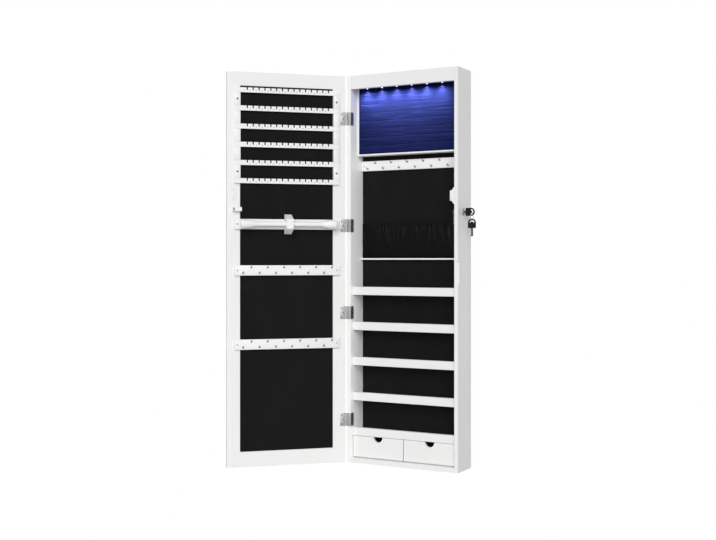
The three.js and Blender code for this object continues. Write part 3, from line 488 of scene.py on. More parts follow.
@dataclass(frozen=True)
class SilveredGlass(Finish):
    """Mirror glass: near-perfect silver with a slight waviness and dulled edges."""

    def lay(self, graph: Graph) -> None:
        """Adds float-glass waviness, faint wipe marks and the ground edge."""
        edge = graph.edge(0.0020, 40.0)
        tone = graph.mix(graph.times(edge, 0.5), self.colour, (0.42, 0.50, 0.48))
        wipes = graph.remap(
            graph.noise(7.0, 4.0, stretch=(1.0, 1.0, 0.3), distortion=1.5), 0.5, 0.8, 0.0, 0.035
        )
        graph.set(Base_Color=tone, Metallic=1.0)
        graph.set(Roughness=graph.remap(wipes, 0.0, 0.035, self.roughness, self.roughness + 0.035))
        graph.bump((graph.noise(3.0, 1.0), 0.02, 0.0006))


@dataclass(frozen=True)
class LampLens(Finish):
    """Clear blue-white lamp lens that glows all over, with faint patches."""

    glow: Colour = (0.70, 0.72, 1.0)
    power: float = 2.6

    def lay(self, graph: Graph) -> None:
        """Adds the patchy glow and moulding marks."""
        patch = graph.remap(graph.noise(500.0, 2.0), 0.3, 0.7, 0.75, 1.0)
        graph.set(
            Emission_Color=self.glow,
            Emission_Strength=graph.times(patch, self.power),
            Roughness=graph.remap(graph.noise(300.0, 1.0), 0.3, 0.7, 0.12, 0.25),
        )
        graph.bump((graph.noise(700.0, 1.0), 0.08, 0.0001))


LACQUER = Lacquer("satin_white_lacquer", Slot.LACQUER, (0.86, 0.86, 0.86), 0.38)
PLASTIC = MouldedPlastic("white_moulded_plastic", Slot.PLASTIC, (0.90, 0.90, 0.90), 0.36)
VELVET = Velvet("black_flocked_velvet", Slot.VELVET, (0.0116, 0.0116, 0.0118), 0.95)
ROLL_VELVET = Velvet(
    "navy_roll_velvet",
    Slot.ROLLS,
    (0.0048, 0.0070, 0.042),
    0.9,
    nap=(0.0068, 0.0096, 0.056),
    pile=1300.0,
    sheen=0.0,
    brush=(0.12, 1.0, 1.0),
    streak_and_highlight=0.75,
)
SATIN = Satin(
    "black_pocket_satin", Slot.SATIN, (0.0018, 0.0018, 0.0020), 0.50, nap=(0.004, 0.004, 0.0043)
)
STEEL = PlatedSteel("nickel_plated_steel", Slot.STEEL, (0.42, 0.42, 0.42), 0.46)
DARK_STEEL = PlatedSteel(
    "dark_screw_steel", Slot.STEEL, (0.12, 0.12, 0.123), 0.5, tarnish=(0.07, 0.07, 0.07)
)
BLACK = MouldedPlastic(
    "black_key_plastic",
    Slot.BLACK,
    (0.010, 0.010, 0.011),
    0.45,
    grain=900.0,
    grain_strength=0.3,
    edge_colour=(0.03, 0.03, 0.03),
    gloss=0.12,
)
BOARD = FibreBoard("brown_hardboard", Slot.BOARD, (0.36, 0.23, 0.13), 0.8)
PINE = FibreBoard(
    "planed_batten",
    Slot.BOARD,
    (0.62, 0.47, 0.30),
    0.75,
    grain=(0.03, 1.0, 1.0),
    fleck=(0.40, 0.27, 0.15),
)
MIRROR = SilveredGlass("silvered_glass", Slot.MIRROR, (0.93, 0.945, 0.945), 0.015)
LENS = LampLens("lit_lamp_lens", Slot.LAMP, (0.8, 0.85, 1.0), 0.2)
LAMP_BODY = MouldedPlastic("lamp_bar_plastic", Slot.LAMP, (0.80, 0.83, 0.92), 0.4)


# ------------------------------------------------------------------------ mesh work


def turns(count: int) -> Outline:
    """Returns the cosine and sine of evenly spaced angles round a circle."""
    angles = (2 * math.pi * step / count for step in range(count))
    return [(math.cos(angle), math.sin(angle)) for angle in angles]


def circle(x: float, z: float, radius: float, steps: int) -> Outline:
    """Returns the corners of a round hole."""
    return [(x + radius * a, z + radius * b) for a, b in turns(steps)]


def spaced(count: int, pitch: float) -> list[float]:
    """Returns positions at a pitch, centred on 0."""
    return [(index - (count - 1) / 2) * pitch for index in range(count)]


def rounded(points: Profile, radius: float, steps: int = 4) -> Outline:
    """Rounds the corners of an outline.

    Args:
        points: Corners, in order.
        radius: Radius at each corner.
        steps: Segments at each corner.

    Returns:
        The outline with its corners rounded.
    """
    made = []
    for index, point in enumerate(points):
        corner = Vector(point)
        before = (Vector(points[index - 1]) - corner).normalized()
        after = (Vector(points[(index + 1) % len(points)]) - corner).normalized()
        start, end = corner + before * radius, corner + after * radius
        for step in range(steps + 1):
            t = step / steps
            spot = (1 - t) ** 2 * start + 2 * t * (1 - t) * corner + t * t * end
            made.append((spot.x, spot.y))
    return made


@dataclass(frozen=True)
class Head:
    """Size of a screw's head."""

    radius: float
    dome: float


class Blank:
    """A mesh under construction, in a mount's millimetres."""

    def __init__(self) -> None:
        """Starts empty."""
        self.mesh = bmesh.new()

    def skin(
        self,
        rings: Sequence[Sequence[Vector]],
        around: bool = True,
        loop: bool = False,
        caps: bool = True,
    ) -> None:
        """Joins rows of points with quads.

        Args:
            rings: Rows of the same number of points.
            around: Whether each row closes on itself.
            loop: Whether the last row joins the first.
            caps: Whether the end rows are filled when they don't loop.
        """
        rows = [[self.mesh.verts.new(point) for point in ring] for ring in rings]
        count = len(rows[0])
        steps = count if around else count - 1
        for index in range(len(rows) if loop else len(rows) - 1):
            here, there = rows[index], rows[(index + 1) % len(rows)]
            for step in range(steps):
                nxt = (step + 1) % count
                self.mesh.faces.new((here[step], here[nxt], there[nxt], there[step]))
        if caps and not loop and around:
            self.mesh.faces.new(list(reversed(rows[0])))
            self.mesh.faces.new(rows[-1])

    def lathe(
        self,
        profile: Profile,
        centre: Point,
        axis: str = "X",
        sides: int = 32,
        loop: bool = False,
    ) -> None:
        """Turns a profile about an axis.

        Args:
            profile: Pairs of distance along the axis and radius. A radius of 0 isn't used.
            centre: The point that distances count from.
            axis: The axis of turning, X, Y or Z.
            sides: Facets round the axis.
            loop: Whether the profile closes on itself, as it does round a bore.
        """
        rings = []
        for along, radius in profile:
            ring = []
            for c, s in turns(sides):
                a, b = radius * c, radius * s
                offset = {"X": (along, a, b), "Y": (b, along, a), "Z": (a, b, along)}[axis]
                ring.append(Vector(centre) + Vector(offset))
            rings.append(ring)
        self.skin(rings, loop=loop)

    def tube(
        self,
        path: Sequence[Vector],
        radius: float,
        sides: int = 10,
        loop: bool = False,
        flat: float = 1.0,
        across: Optional[Vector] = None,
    ) -> None:
        """Sweeps a round or flattened section along a path.

        Args:
            path: Points of the path.
            radius: Half the section's width.
            sides: Facets round the section.
            loop: Whether the path closes on itself.
            flat: Thickness over width.
            across: The section's wide axis, for a flattened section.
        """
        rings = []
        count = len(path)
        side = Vector(across) if across is not None else None
        for index, point in enumerate(path):
            before = path[(index - 1) % count] if loop or index else path[0]
            after = path[(index + 1) % count] if loop or index < count - 1 else path[-1]
            forward = (after - before).normalized()
            if side is None:
                side = forward.orthogonal().normalized()
            wide = (side - forward * side.dot(forward)).normalized()
            if across is None:
                side = wide
            high = forward.cross(wide)
            rings.append(
                [point + wide * (radius * c) + high * (radius * flat * s) for c, s in turns(sides)]
            )
        self.skin(rings, loop=loop)

    def slab(self, low: Point, high: Point, edge: float = 0.8, steps: int = 2) -> None:
        """Adds a board with rounded edges.

        Args:
            low: Its lowest corner.
            high: Its highest corner.
            edge: Radius of the edges.
            steps: Segments of each rounded edge.
        """
        made = bmesh.ops.create_cube(self.mesh, size=1.0)["verts"]
        size = Vector(high) - Vector(low)
        bmesh.ops.scale(self.mesh, vec=size, verts=made)
        bmesh.ops.translate(self.mesh, vec=(Vector(high) + Vector(low)) / 2, verts=made)
        edges = list({e for v in made for e in v.link_edges})
        bmesh.ops.bevel(
            self.mesh, geom=edges, offset=edge, segments=steps, profile=0.5, affect="EDGES"
        )

    def prism(self, outline: Profile, near: float, far: float, edge: float = 0.0) -> None:
        """Extrudes an outline in X and Z along Y.

        Args:
            outline: Corners of the outline, in order.
            near: Y of one face.
            far: Y of the other face.
            edge: Radius of the edges round the near face.
        """
        front = [self.mesh.verts.new((x, near, z)) for x, z in outline]
        rear = [self.mesh.verts.new((x, far, z)) for x, z in outline]
        count = len(outline)
        faces = [self.mesh.faces.new(front), self.mesh.faces.new(list(reversed(rear)))]
        for index in range(count):
            nxt = (index + 1) % count
            faces.append(
                self.mesh.faces.new((front[nxt], front[index], rear[index], rear[nxt]))
            )
        if edge:
            rim = list(faces[0].edges)
            bmesh.ops.bevel(
                self.mesh, geom=rim, offset=edge, segments=2, profile=0.5, affect="EDGES"
            )

    def cells(
        self,
        spans: tuple[Sequence[float], Sequence[float], Sequence[float]],
        filled: Callable[[float, float, float], bool],
    ) -> None:
        """Adds the skin round the filled boxes of a grid.

        Args:
            spans: Places of the grid's planes on the three axes.
            filled: Tells from the middle of a box whether it is filled.
        """
        counts = [len(span) - 1 for span in spans]
        corners: dict[tuple[int, ...], bmesh.types.BMVert] = {}

        def full(cell: Sequence[int]) -> bool:
            """Tells whether a box of the grid is filled."""
            if any(not 0 <= at < count for at, count in zip(cell, counts)):
                return False
            return filled(*((span[at] + span[at + 1]) / 2 for span, at in zip(spans, cell)))

        for cell in itertools.product(*map(range, counts)):
            if not full(cell):
                continue
            for axis, step in itertools.product(range(3), (0, 1)):
                beside = list(cell)
                beside[axis] += 2 * step - 1
                if full(beside):
                    continue
                first, second = (k for k in range(3) if k != axis)
                face = []
                for a, b in ((0, 0), (1, 0), (1, 1), (0, 1)):
                    at = list(cell)
                    at[axis] += step
                    at[first] += a
                    at[second] += b
                    key = tuple(at)
                    if key not in corners:
                        corners[key] = self.mesh.verts.new(
                            [span[k] for span, k in zip(spans, key)]
                        )
                    face.append(corners[key])
                self.mesh.faces.new(face)

    def screw(self, centre: Point, facing: Point, head: Head) -> None:
        """Adds a cross-recessed screw head that stands on a face.

        Args:
            centre: Middle of the head, on the face.
            facing: The face's normal.
            head: The head's size.
        """
        normal = Vector(facing)
        side = normal.orthogonal().normalized()
        up = normal.cross(side)
        round_head = turns(24)
        rims = [
            ([(part * c, part * s) for c, s in round_head], height)
            for part, height in ((1.0, -0.1), (1.0, 0.25), (0.86, 0.75), (0.62, 1.0), (0.5, 1.0))
        ]
        cross = []
        for c, s in round_head:
            reach = 0.12 + 0.30 * abs(c * c - s * s) ** 6
            cross.append((reach * c, reach * s))
        rims += [(cross, 1.0), (cross, -0.05)]
        self.skin(
            [
                [
                    Vector(centre)
                    + (side * a + up * b) * head.radius
                    + normal * (head.dome * height)
                    for a, b in rim
                ]
                for rim, height in rims
            ]
        )

    def make(
        self, name: str, mount: Mount, finish: Finish, smooth: float = 35.0
    ) -> bpy.types.Object:
        """Turns the blank into an object that rides on its mount's body.

        Args:
            name: Name of the piece.
            mount: Its axes and body.
            finish: Its surface.
            smooth: Largest angle between faces that is shaded smooth, in degrees.

        Returns:
            The new object.
        """
        bmesh.ops.recalc_face_normals(self.mesh, faces=self.mesh.faces)
        self.mesh.transform(mount.matrix())
        data = bpy.data.meshes.new(name)
        self.mesh.to_mesh(data)
        self.mesh.free()
        return adopt(name, data, mount, finish, smooth)


def adopt(
    name: str, data: bpy.types.Mesh, mount: Mount, finish: Finish, smooth: float
) -> bpy.types.Object:
    """Makes a piece of a mesh, gives it its finish and lets it ride on a body.

    Args:
        name: Name of the piece.
        data: Its mesh, already in the frame's metres.
        mount: The mount whose body carries it.
        finish: Its surface.
        smooth: Largest angle between faces that is shaded smooth, in degrees.

    Returns:
        The new object.
    """
    data.polygons.foreach_set("use_smooth", [True] * len(data.polygons))
    data.set_sharp_from_angle(angle=math.radians(smooth))
    data.materials.clear()
    data.materials.append(finish.material())
    piece = bpy.data.objects.new(name, data)
    bpy.context.scene.collection.objects.link(piece)
    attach(piece, mount.body.value)
    LOG.info("%s rides on %s", piece.name, mount.body.value)
    return piece


def screw_set(
    name: str,
    mount: Mount,
    finish: Finish,
    centres: Sequence[Point],
    facing: Point,
    head: Head,
) -> bpy.types.Object:
    """Builds one piece of screw heads that face the same way.

    Args:
        name: Name of the piece.
        mount: Its axes and body.
        finish: Its surface.
        centres: Middles of the heads, on the face.
        facing: The face's normal.
        head: Size of each head.

    Returns:
        The new object.
    """
    heads = Blank()
    for centre in centres:
        heads.screw(centre, facing, head)
    return heads.make(name, mount, finish)


def dress_node(node: str, finish: Finish, edge: float = 0.0, steps: int = 2) -> None:
    """Gives a carried-over solid its finish and, where asked, rounded edges.

    Args:
        node: Name of the solid.
        finish: Its surface.
        edge: Radius of its edges in millimetres, or 0 to leave them.
        steps: Segments of each rounded edge.
    """
    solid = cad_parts[node]
    material = finish.material()
    if not solid.material_slots:
        solid.data.materials.append(material)
    for slot in solid.material_slots:
        slot.material = material
    if edge:
        round_edges(solid, edge, steps)
    LOG.info("%s dressed in %s", node, finish.name)


def round_edges(piece: bpy.types.Object, edge: float, steps: int = 2) -> None:
    """Rounds a piece's sharp edges with modifiers and leaves its flat faces whole.

    Args:
        piece: The object.
        edge: Radius of its edges in millimetres.
        steps: Segments of each rounded edge.
    """
    weld = piece.modifiers.new("weld", "WELD")
    weld.merge_threshold = 0.00002
    flat = piece.modifiers.new("flat_faces", "DECIMATE")
    flat.decimate_type = "DISSOLVE"
    flat.angle_limit = math.radians(1.0)
    bevel = piece.modifiers.new("rounded_edges", "BEVEL")
    bevel.width = edge * MM
    bevel.segments = steps
    bevel.limit_method = "ANGLE"
    bevel.angle_limit = math.radians(28.0)
    bevel.use_clamp_overlap = True
    piece.modifiers.new("clean_shading", "WEIGHTED_NORMAL").keep_sharp = False


def pierced_plate(
    name: str,
    outlines: Sequence[Profile],
    near: float,
    far: float,
    mount: Mount,
    finish: Finish,
    edge: float = 0.35,
) -> bpy.types.Object:
    """Cuts a plate from outlines, of which the inner ones are holes.

    Args:
        name: Name of the piece.
        outlines: Closed outlines in X and Z.
        near: Y of its front face.
        far: Y of its rear face.
        mount: Its axes and body.
        finish: Its surface.
        edge: Radius of its edges.

    Returns:
        The new object.
    """
    curve = bpy.data.curves.new(name + "_outline", "CURVE")
    curve.dimensions = "2D"
    curve.fill_mode = "BOTH"
    curve.extrude = (far - near) / 2 - edge
    curve.bevel_depth = edge
    curve.bevel_resolution = 1
    curve.offset = -edge
    for outline in outlines:
        spline = curve.splines.new("POLY")
        spline.points.add(len(outline) - 1)
        for point, (x, z) in zip(spline.points, outline):
            point.co = (x, z, 0.0, 1.0)
        spline.use_cyclic_u = True
    holder = bpy.data.objects.new(name + "_outline", curve)
    bpy.context.scene.collection.objects.link(holder)
    bpy.context.view_layer.update()
    data = bpy.data.meshes.new_from_object(
        holder.evaluated_get(bpy.context.evaluated_depsgraph_get())
    )
    bpy.data.objects.remove(holder)
    bpy.data.curves.remove(curve)
    data.name = name
    upright = Matrix.Rotation(math.radians(90.0), 4, "X")
    data.transform(mount.matrix() @ Matrix.Translation((0.0, (near + far) / 2, 0.0)) @ upright)
    return adopt(name, data, mount, finish, 40.0)


# ------------------------------------------------------------------------ sub-assemblies


@dataclass
class Carcass:
    """The lacquered box with its lining, rear panel and battens."""

    edge: float = 0.5
    shelf_edge: float = 1.6
    panels: tuple[str, ...] = (
        "side_panel_left",
        "side_panel_right",
        "top_panel",
        "bottom_panel",
        "top_fascia",
    )
    shelves: int = 5

    def dress(self) -> None:
        """Finishes the panels, shelves, lining and battens."""
        for panel in self.panels:
            dress_node(panel, LACQUER, self.edge)
        for number in range(1, self.shelves + 1):
            dress_node(f"shelf_{number}", LACQUER, self.shelf_edge, 3)
        dress_node("pocket_ledge", LACQUER, 0.9)
        dress_node("back_lining", VELVET)
        dress_node("back_panel", BOARD, 0.4)
        dress_node("hanging_batten", PINE, 1.2)
        dress_node("lower_batten", PINE, 1.2)


@dataclass
class BackWork:
    """Screws that hold the battens, and staples that hold the rear panel."""

    heights: tuple[float, ...] = (HANGING_HEIGHT, 45.3)
    places: tuple[float, ...] = (-150.0, -50.0, 50.0, 150.0)
    head: Head = Head(3.6, 0.24)
    sunk: float = 0.25
    panel_face: float = 84.8
    staple_inset: float = 167.0
    staple_pitch: float = 118.0
    staples_a_side: int = 8
    staple_wire: float = 0.45
    staple: Profile = (
        (-0.6, -5.0),
        (0.3, -5.0),
        (0.45, -4.2),
        (0.45, 4.2),
        (0.3, 5.0),
        (-0.6, 5.0),
    )

    def build(self) -> None:
        """Builds the screws and staples."""
        centres = [(x, DEPTH - self.sunk, height) for height in self.heights for x in self.places]
        screw_set("batten_screws", FRONT_AXES, DARK_STEEL, centres, BACKWARD, self.head)
        staples = Blank()
        for side in (-1, 1):
            for height in spaced(self.staples_a_side, self.staple_pitch):
                middle = Vector((side * self.staple_inset, self.panel_face, HEIGHT / 2 + height))
                path = [middle + Vector((0.0, out, up)) for out, up in self.staple]
                staples.tube(path, self.staple_wire, 8)
        staples.make("panel_staples", FRONT_AXES, STEEL)


@dataclass(frozen=True)
class Beam:
    """One kind of light that falls from every lamp onto the rolls."""

    name: str
    depth: float
    height: float
    power: float
    angle: float
    colour: Colour


@dataclass
class LampRow:
    """The lamp bar under the top board, with six lit lenses."""

    count: int = 6
    pitch: float = 50.6
    half: float = 152.5
    depth_near: float = 12.3
    depth_far: float = 30.3
    low: float = 1164.5
    high: float = 1179.5
    lens_depth: float = 21.3
    lens_radius: float = 2.3
    lens_tip: float = 1158.2
    lean: float = 11.0
    head: Head = Head(2.2, 0.8)
    screw_inset: float = 9.0
    lens_rim: Profile = ((-0.8, 3.4), (-0.8, 3.9), (0.2, 4.2))
    beams: tuple[Beam, ...] = (
        Beam("wide_beam", 19.0, 1163.0, 2.5, 150.0, (0.62, 0.72, 0.76)),
        Beam("middle_beam", 31.0, 1163.0, 0.80, 92.0, (0.80, 0.78, 0.78)),
        Beam("near_beam", 39.5, 1165.0, 0.65, 76.0, (1.0, 0.70, 0.78)),
    )

    def build(self) -> None:
        """Builds the bar, with its rims and screws, and the lenses."""
        bar = Blank()
        bar.slab(
            (-self.half, self.depth_near, self.low), (self.half, self.depth_far, self.high), 1.5, 3
        )
        for x in spaced(self.count, self.pitch):
            bar.lathe(self.lens_rim, (x, self.lens_depth, self.low), "Z", 28)
        for x in (self.screw_inset - self.half, self.half - self.screw_inset):
            bar.screw((x, self.lens_depth, self.low + 0.05), DOWNWARD, self.head)
        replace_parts(bar.make("lamp_bar", FRONT_AXES, LAMP_BODY), "led_bar")
        # The last ring stops short of the axis, because a lathe takes no radius of 0.
        radius, crown = self.lens_radius, self.lens_tip + self.lens_radius
        profile = [(self.low - 0.5, radius), (crown, radius)]
        for step in range(1, 7):
            angle = math.pi / 2 * step / 6.3
            profile.append((crown - radius * math.sin(angle), radius * math.cos(angle)))
        lenses = Blank()
        for x in spaced(self.count, self.pitch):
            lenses.lathe(profile, (x, self.lens_depth, 0.0), "Z", 24)
        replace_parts(lenses.make("lamp_lenses", FRONT_AXES, LENS), "led_bar")

    def light(self, rolls: bpy.types.Object) -> None:
        """Adds the beams under each lens.

        Args:
            rolls: The cushion, which is all that the beams fall on.
        """
        lit = bpy.data.collections.new("lit_by_lamps")
        lit.objects.link(rolls)
        for kind in self.beams:
            for number, x in enumerate(spaced(self.count, self.pitch), start=1):
                beam = bpy.data.lights.new(f"{kind.name}_{number}", "SPOT")
                beam.energy = kind.power
                beam.color = kind.colour
                beam.spot_size = math.radians(kind.angle)
                beam.spot_blend = 1.0
                beam.shadow_soft_size = 0.001
                lamp = bpy.data.objects.new(beam.name, beam)
                place = Vector((x - self.lean, kind.depth, kind.height))
                lamp.location = FRONT_AXES.matrix() @ place
                lamp.light_linking.receiver_collection = lit
                bpy.context.scene.collection.objects.link(lamp)
                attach(lamp, Body.CABINET.value)


@dataclass
class RingTray:
    """The white tray and its cushion of tight horizontal rolls."""

    half: float = 168.2
    low: float = 959.9
    pitch: float = 25.58
    rolls: int = 8
    crest: float = 45.7
    relief: float = 0.55
    back: float = 76.2
    columns: int = 150
    steps: int = 14
    end_radius: float = 5.0
    seed: int = 11

    def dress(self) -> None:
        """Finishes the tray and the battery holder above it."""
        dress_node("ring_tray", PLASTIC, 0.8)
        dress_node("battery_box", PLASTIC, 1.5, 3)

    def build(self) -> bpy.types.Object:
        """Builds the rolls as one padded piece with creases between them.

        Returns:
            The cushion.
        """
        chance = random.Random(self.seed)
        waves = [
            [
                (chance.uniform(0.4, 1.6), chance.uniform(0, 6.28), chance.uniform(0.25, 0.7))
                for _ in range(3)
            ]
            for _ in range(self.rolls + 1)
        ]

        def crease(index: int, x: float) -> float:
            """Returns the height of a crease at x; the outer two are straight."""
            straight = self.low + index * self.pitch
            if index in (0, self.rolls):
                return straight
            return straight + sum(a * math.sin(x / 60.0 * f + p) for f, p, a in waves[index])

        rings = []
        for column in range(self.columns + 1):
            across = column / self.columns
            x = -self.half + 2 * self.half * across
            end = min(across, 1 - across) * 2 * self.half
            pull = 0.35 + 0.65 * (1.0 - max(0.0, 1.0 - end / self.end_radius) ** 2)
            ring = [Vector((x, self.back, self.low))]
            for roll in range(self.rolls):
                low, high = crease(roll, x), crease(roll + 1, x)
                swell = 0.93 + 0.07 * math.sin(x / 41.0 + roll * 2.1) * math.sin(x / 17.0 + roll)
                for step in range(1 if roll else 0, self.steps + 1):
                    t = step / self.steps
                    hump = math.sin(math.pi * t) ** 0.5 if 0 < t < 1 else 0.0
                    eased = (1 - math.cos(math.pi * t)) / 2
                    depth = self.crest + self.relief * (1 - hump * swell * pull)
                    ring.append(Vector((x, depth, low + eased * (high - low))))
            ring.append(Vector((x, self.back, self.low + self.rolls * self.pitch)))
            rings.append(ring)
        cushion = Blank()
        cushion.skin(rings)
        rolls = cushion.make("ring_rolls", FRONT_AXES, ROLL_VELVET, 60.0)
        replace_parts(rolls, "ring_cushion")
        return rolls


@dataclass
class HookBar:
    """A white bar with two staggered rows of steel hooks and a screw near each end."""

    node: str
    mount: Mount
    half: float
    height: float
    face: float
    foot: float
    pitch: float
    shift: float
    bar_height: float = 31.0
    row_rise: float = 8.5
    hooks_in_row: int = 6
    hook_width: float = 2.4
    hook_thickness: float = 1.5
    reach: float = 9.0
    rise: float = 5.0
    bend: float = 2.2
    head: Head = Head(2.6, 0.8)
    end_screw: float = 9.0

    def hook_path(self, x: float, z: float) -> list[Vector]:
        """Returns the path of one hook from the bar's face out and up."""
        tip = self.face - self.reach
        places = [(self.face + 0.8, z), (tip + 3.0, z)]
        for step in range(1, 6):
            angle = math.pi / 2 * step / 5
            out, up = self.bend * math.sin(angle), self.bend * (1 - math.cos(angle))
            places.append((tip + 3.0 - out, z + up))
        places += [(tip + 0.75, z + self.rise - 1.0), (tip + 0.9, z + self.rise)]
        return [Vector((x, depth, height)) for depth, height in places]

    def build(self) -> None:
        """Builds the bar, the hooks with their foot plates, and the end screws."""
        bar = Blank()
        low, high = self.height - self.bar_height / 2, self.height + self.bar_height / 2
        bar.slab((-self.half, self.face, low), (self.half, self.foot, high), 1.4, 3)
        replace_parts(bar.make(self.node + "_board", self.mount, PLASTIC), self.node)
        hooks = Blank()
        flat = self.hook_thickness / self.hook_width
        plate = [(self.face - 0.7, 1.9), (self.face - 0.5, 2.3), (self.face + 0.3, 2.3)]
        for side in (1, -1):
            z = self.height + side * self.row_rise
            for offset in spaced(self.hooks_in_row, self.pitch):
                x = offset + side * self.shift
                path = self.hook_path(x, z)
                hooks.tube(path, self.hook_width / 2, 12, flat=flat, across=Vector(RIGHTWARD))
                hooks.lathe(plate, (x, 0.0, z), "Y", 20)
        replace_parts(hooks.make(self.node + "_hooks", self.mount, DARK_STEEL), self.node)
        inset = self.half - self.end_screw
        centres = [(x, self.face + 0.05, self.height) for x in (-inset, inset)]
        screw_set(self.node + "_screws", self.mount, STEEL, centres, FORWARD, self.head)


@dataclass
class GatheredPocket:
    """A satin pocket, gathered on elastic along its hem and tacked along its foot."""

    half: float = 173.4
    low: float = 634.7
    height: float = 106.5
    lining: float = 79.7
    hem_bulge: float = 11.0
    belly_bulge: float = 14.5
    ridges: int = 26
    gathers: int = 46
    columns: int = 420
    rows: int = 56
    cloth: float = 0.5
    hem_height: float = 9.0
    hem_drop: float = 3.6
    foot_low: Point = (-172.4, 76.6, 635.1)
    foot_high: Point = (172.4, 79.4, 638.1)
    fullness: float = 1.02
    seed: int = 5
    folds: list[tuple[float, ...]] = field(default_factory=list)

    def plan_folds(self) -> None:
        """Draws the folds' places, drifts, widths, depths, lengths and phases."""
        chance = random.Random(self.seed)
        for index in range(self.ridges):
            share = (index + 0.5 + chance.uniform(-0.3, 0.3)) / self.ridges
            start = -self.half + 2 * self.half * share
            slant = chance.uniform(4.0, 34.0) if abs(start) > 60 else chance.uniform(-10.0, 12.0)
            width = chance.uniform(2.6, 4.6)
            depth = chance.uniform(0.9, 2.6)
            reach = chance.uniform(0.30, 1.0)
            self.folds.append((start, slant, width, depth, reach, chance.uniform(0, 6.28)))

    def depth(self, x: float, up: float) -> float:
        """Returns the cloth's depth from the front plane.

        Args:
            x: Place across.
            up: Share of the height, 0 at the foot and 1 at the hem.

        Returns:
            Depth in millimetres.
        """
        ends = 1 - (abs(x) / self.half) ** 10
        swell = 1.1 * (self.belly_bulge - self.hem_bulge)
        belly = self.hem_bulge + swell * math.sin(math.pi * min(1, up * 1.05))
        foot = 1 - math.exp(-up / 0.10)
        fold = 0.0
        down = 1 - up
        for start, slant, width, depth, reach, phase in self.folds:
            middle = start + slant * down**1.5 + 2.0 * math.sin(phase + 4 * down)
            if abs(x - middle) > 4 * width:
                continue
            fade = max(0.0, 1 - down / reach) ** 0.7
            fold += depth * fade * math.exp(-(((x - middle) / (width * (1 + 0.8 * down))) ** 2))
        turn = 2 * math.pi * self.gathers * (x + self.half) / (2 * self.half)
        fold += 0.8 * math.sin(turn + 1.4 * math.sin(x / 19)) * math.exp(-down / 0.14)
        return self.lining - 1.0 - ends * (foot * (belly - 4.0 + fold) + 1.2)

    def hem(self, places: Sequence[float]) -> bpy.types.Object:
        """Builds the puffed band round the elastic, along the places across."""
        rings = []
        middle = self.low + self.height - self.hem_drop
        for x in places:
            depth = self.depth(x, 1.0)
            puff = 1.1 + 0.25 * math.sin(x * 0.9)
            ring = []
            for c, s in turns(12):
                swell = self.hem_height / 2 * math.copysign(abs(s) ** 0.6, s)
                ring.append(Vector((x, depth + puff * c, middle + swell)))
            rings.append(ring)
        band = Blank()
        band.skin(rings)
        return band.make("pocket_elastic_hem", FRONT_AXES, SATIN, 180.0)

    def build(self) -> None:
        """Builds the cloth, its elastic hem and its foot tape."""
        self.plan_folds()
        places = [
            -self.half + 2 * self.half * column / self.columns
            for column in range(self.columns + 1)
        ]
        rows = []
        for row in range(self.rows + 1):
            up = row / self.rows
            z = self.low + up * self.height
            rows.append([Vector((x, self.depth(x, up), z)) for x in places])
        cloth = Blank()
        cloth.skin(rows, around=False)
        pocket = cloth.make("pocket_gathered_cloth", FRONT_AXES, SATIN, 180.0)
        thick = pocket.modifiers.new("cloth_thickness", "SOLIDIFY")
        thick.thickness = self.cloth * MM
        thick.offset = 0.0
        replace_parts(pocket, "pocket_cloth")
        band = self.hem(places)
        tape = Blank()
        tape.slab(self.foot_low, self.foot_high, 0.6)
        foot = tape.make("pocket_foot_tape", FRONT_AXES, SATIN)


@dataclass
class DrawerPair:
    """Two small drawers with half-moon finger cuts and felt floors."""

    near: float = 28.6
    far: float = 74.2
    inner: float = 5.9
    outer: float = 166.7
    floor: float = 18.4
    pad: float = 2.0
    head: Head = Head(3.0, 0.9)
    screw_places: tuple[float, float] = (30.0, 142.0)
    screw_height: float = 46.0

    def dress(self) -> None:
        """Finishes the fronts, boxes and divider."""
        for side in ("left", "right"):
            dress_node(f"drawer_front_{side}", LACQUER, 0.8)
            dress_node(f"drawer_box_{side}", VELVET, 0.7)
        dress_node("drawer_divider", LACQUER, 0.5)

    def build(self) -> None:
        """Builds a felt pad on each drawer's floor and the front's fixing screws."""
        for name, side, body in (("left", -1, Body.DRAWER_LEFT), ("right", 1, Body.DRAWER_RIGHT)):
            mount = FRONT_AXES.on(body)
            pad = Blank()
            x0, x1 = sorted((side * self.inner, side * self.outer))
            pad.slab((x0, self.near, self.floor), (x1, self.far, self.floor + self.pad))
            pad.make(f"drawer_pad_{name}", mount, VELVET)
            centres = [(side * x, self.near + 0.05, self.screw_height) for x in self.screw_places]
            screw_set(f"drawer_screws_{name}", mount, STEEL, centres, BACKWARD, self.head)


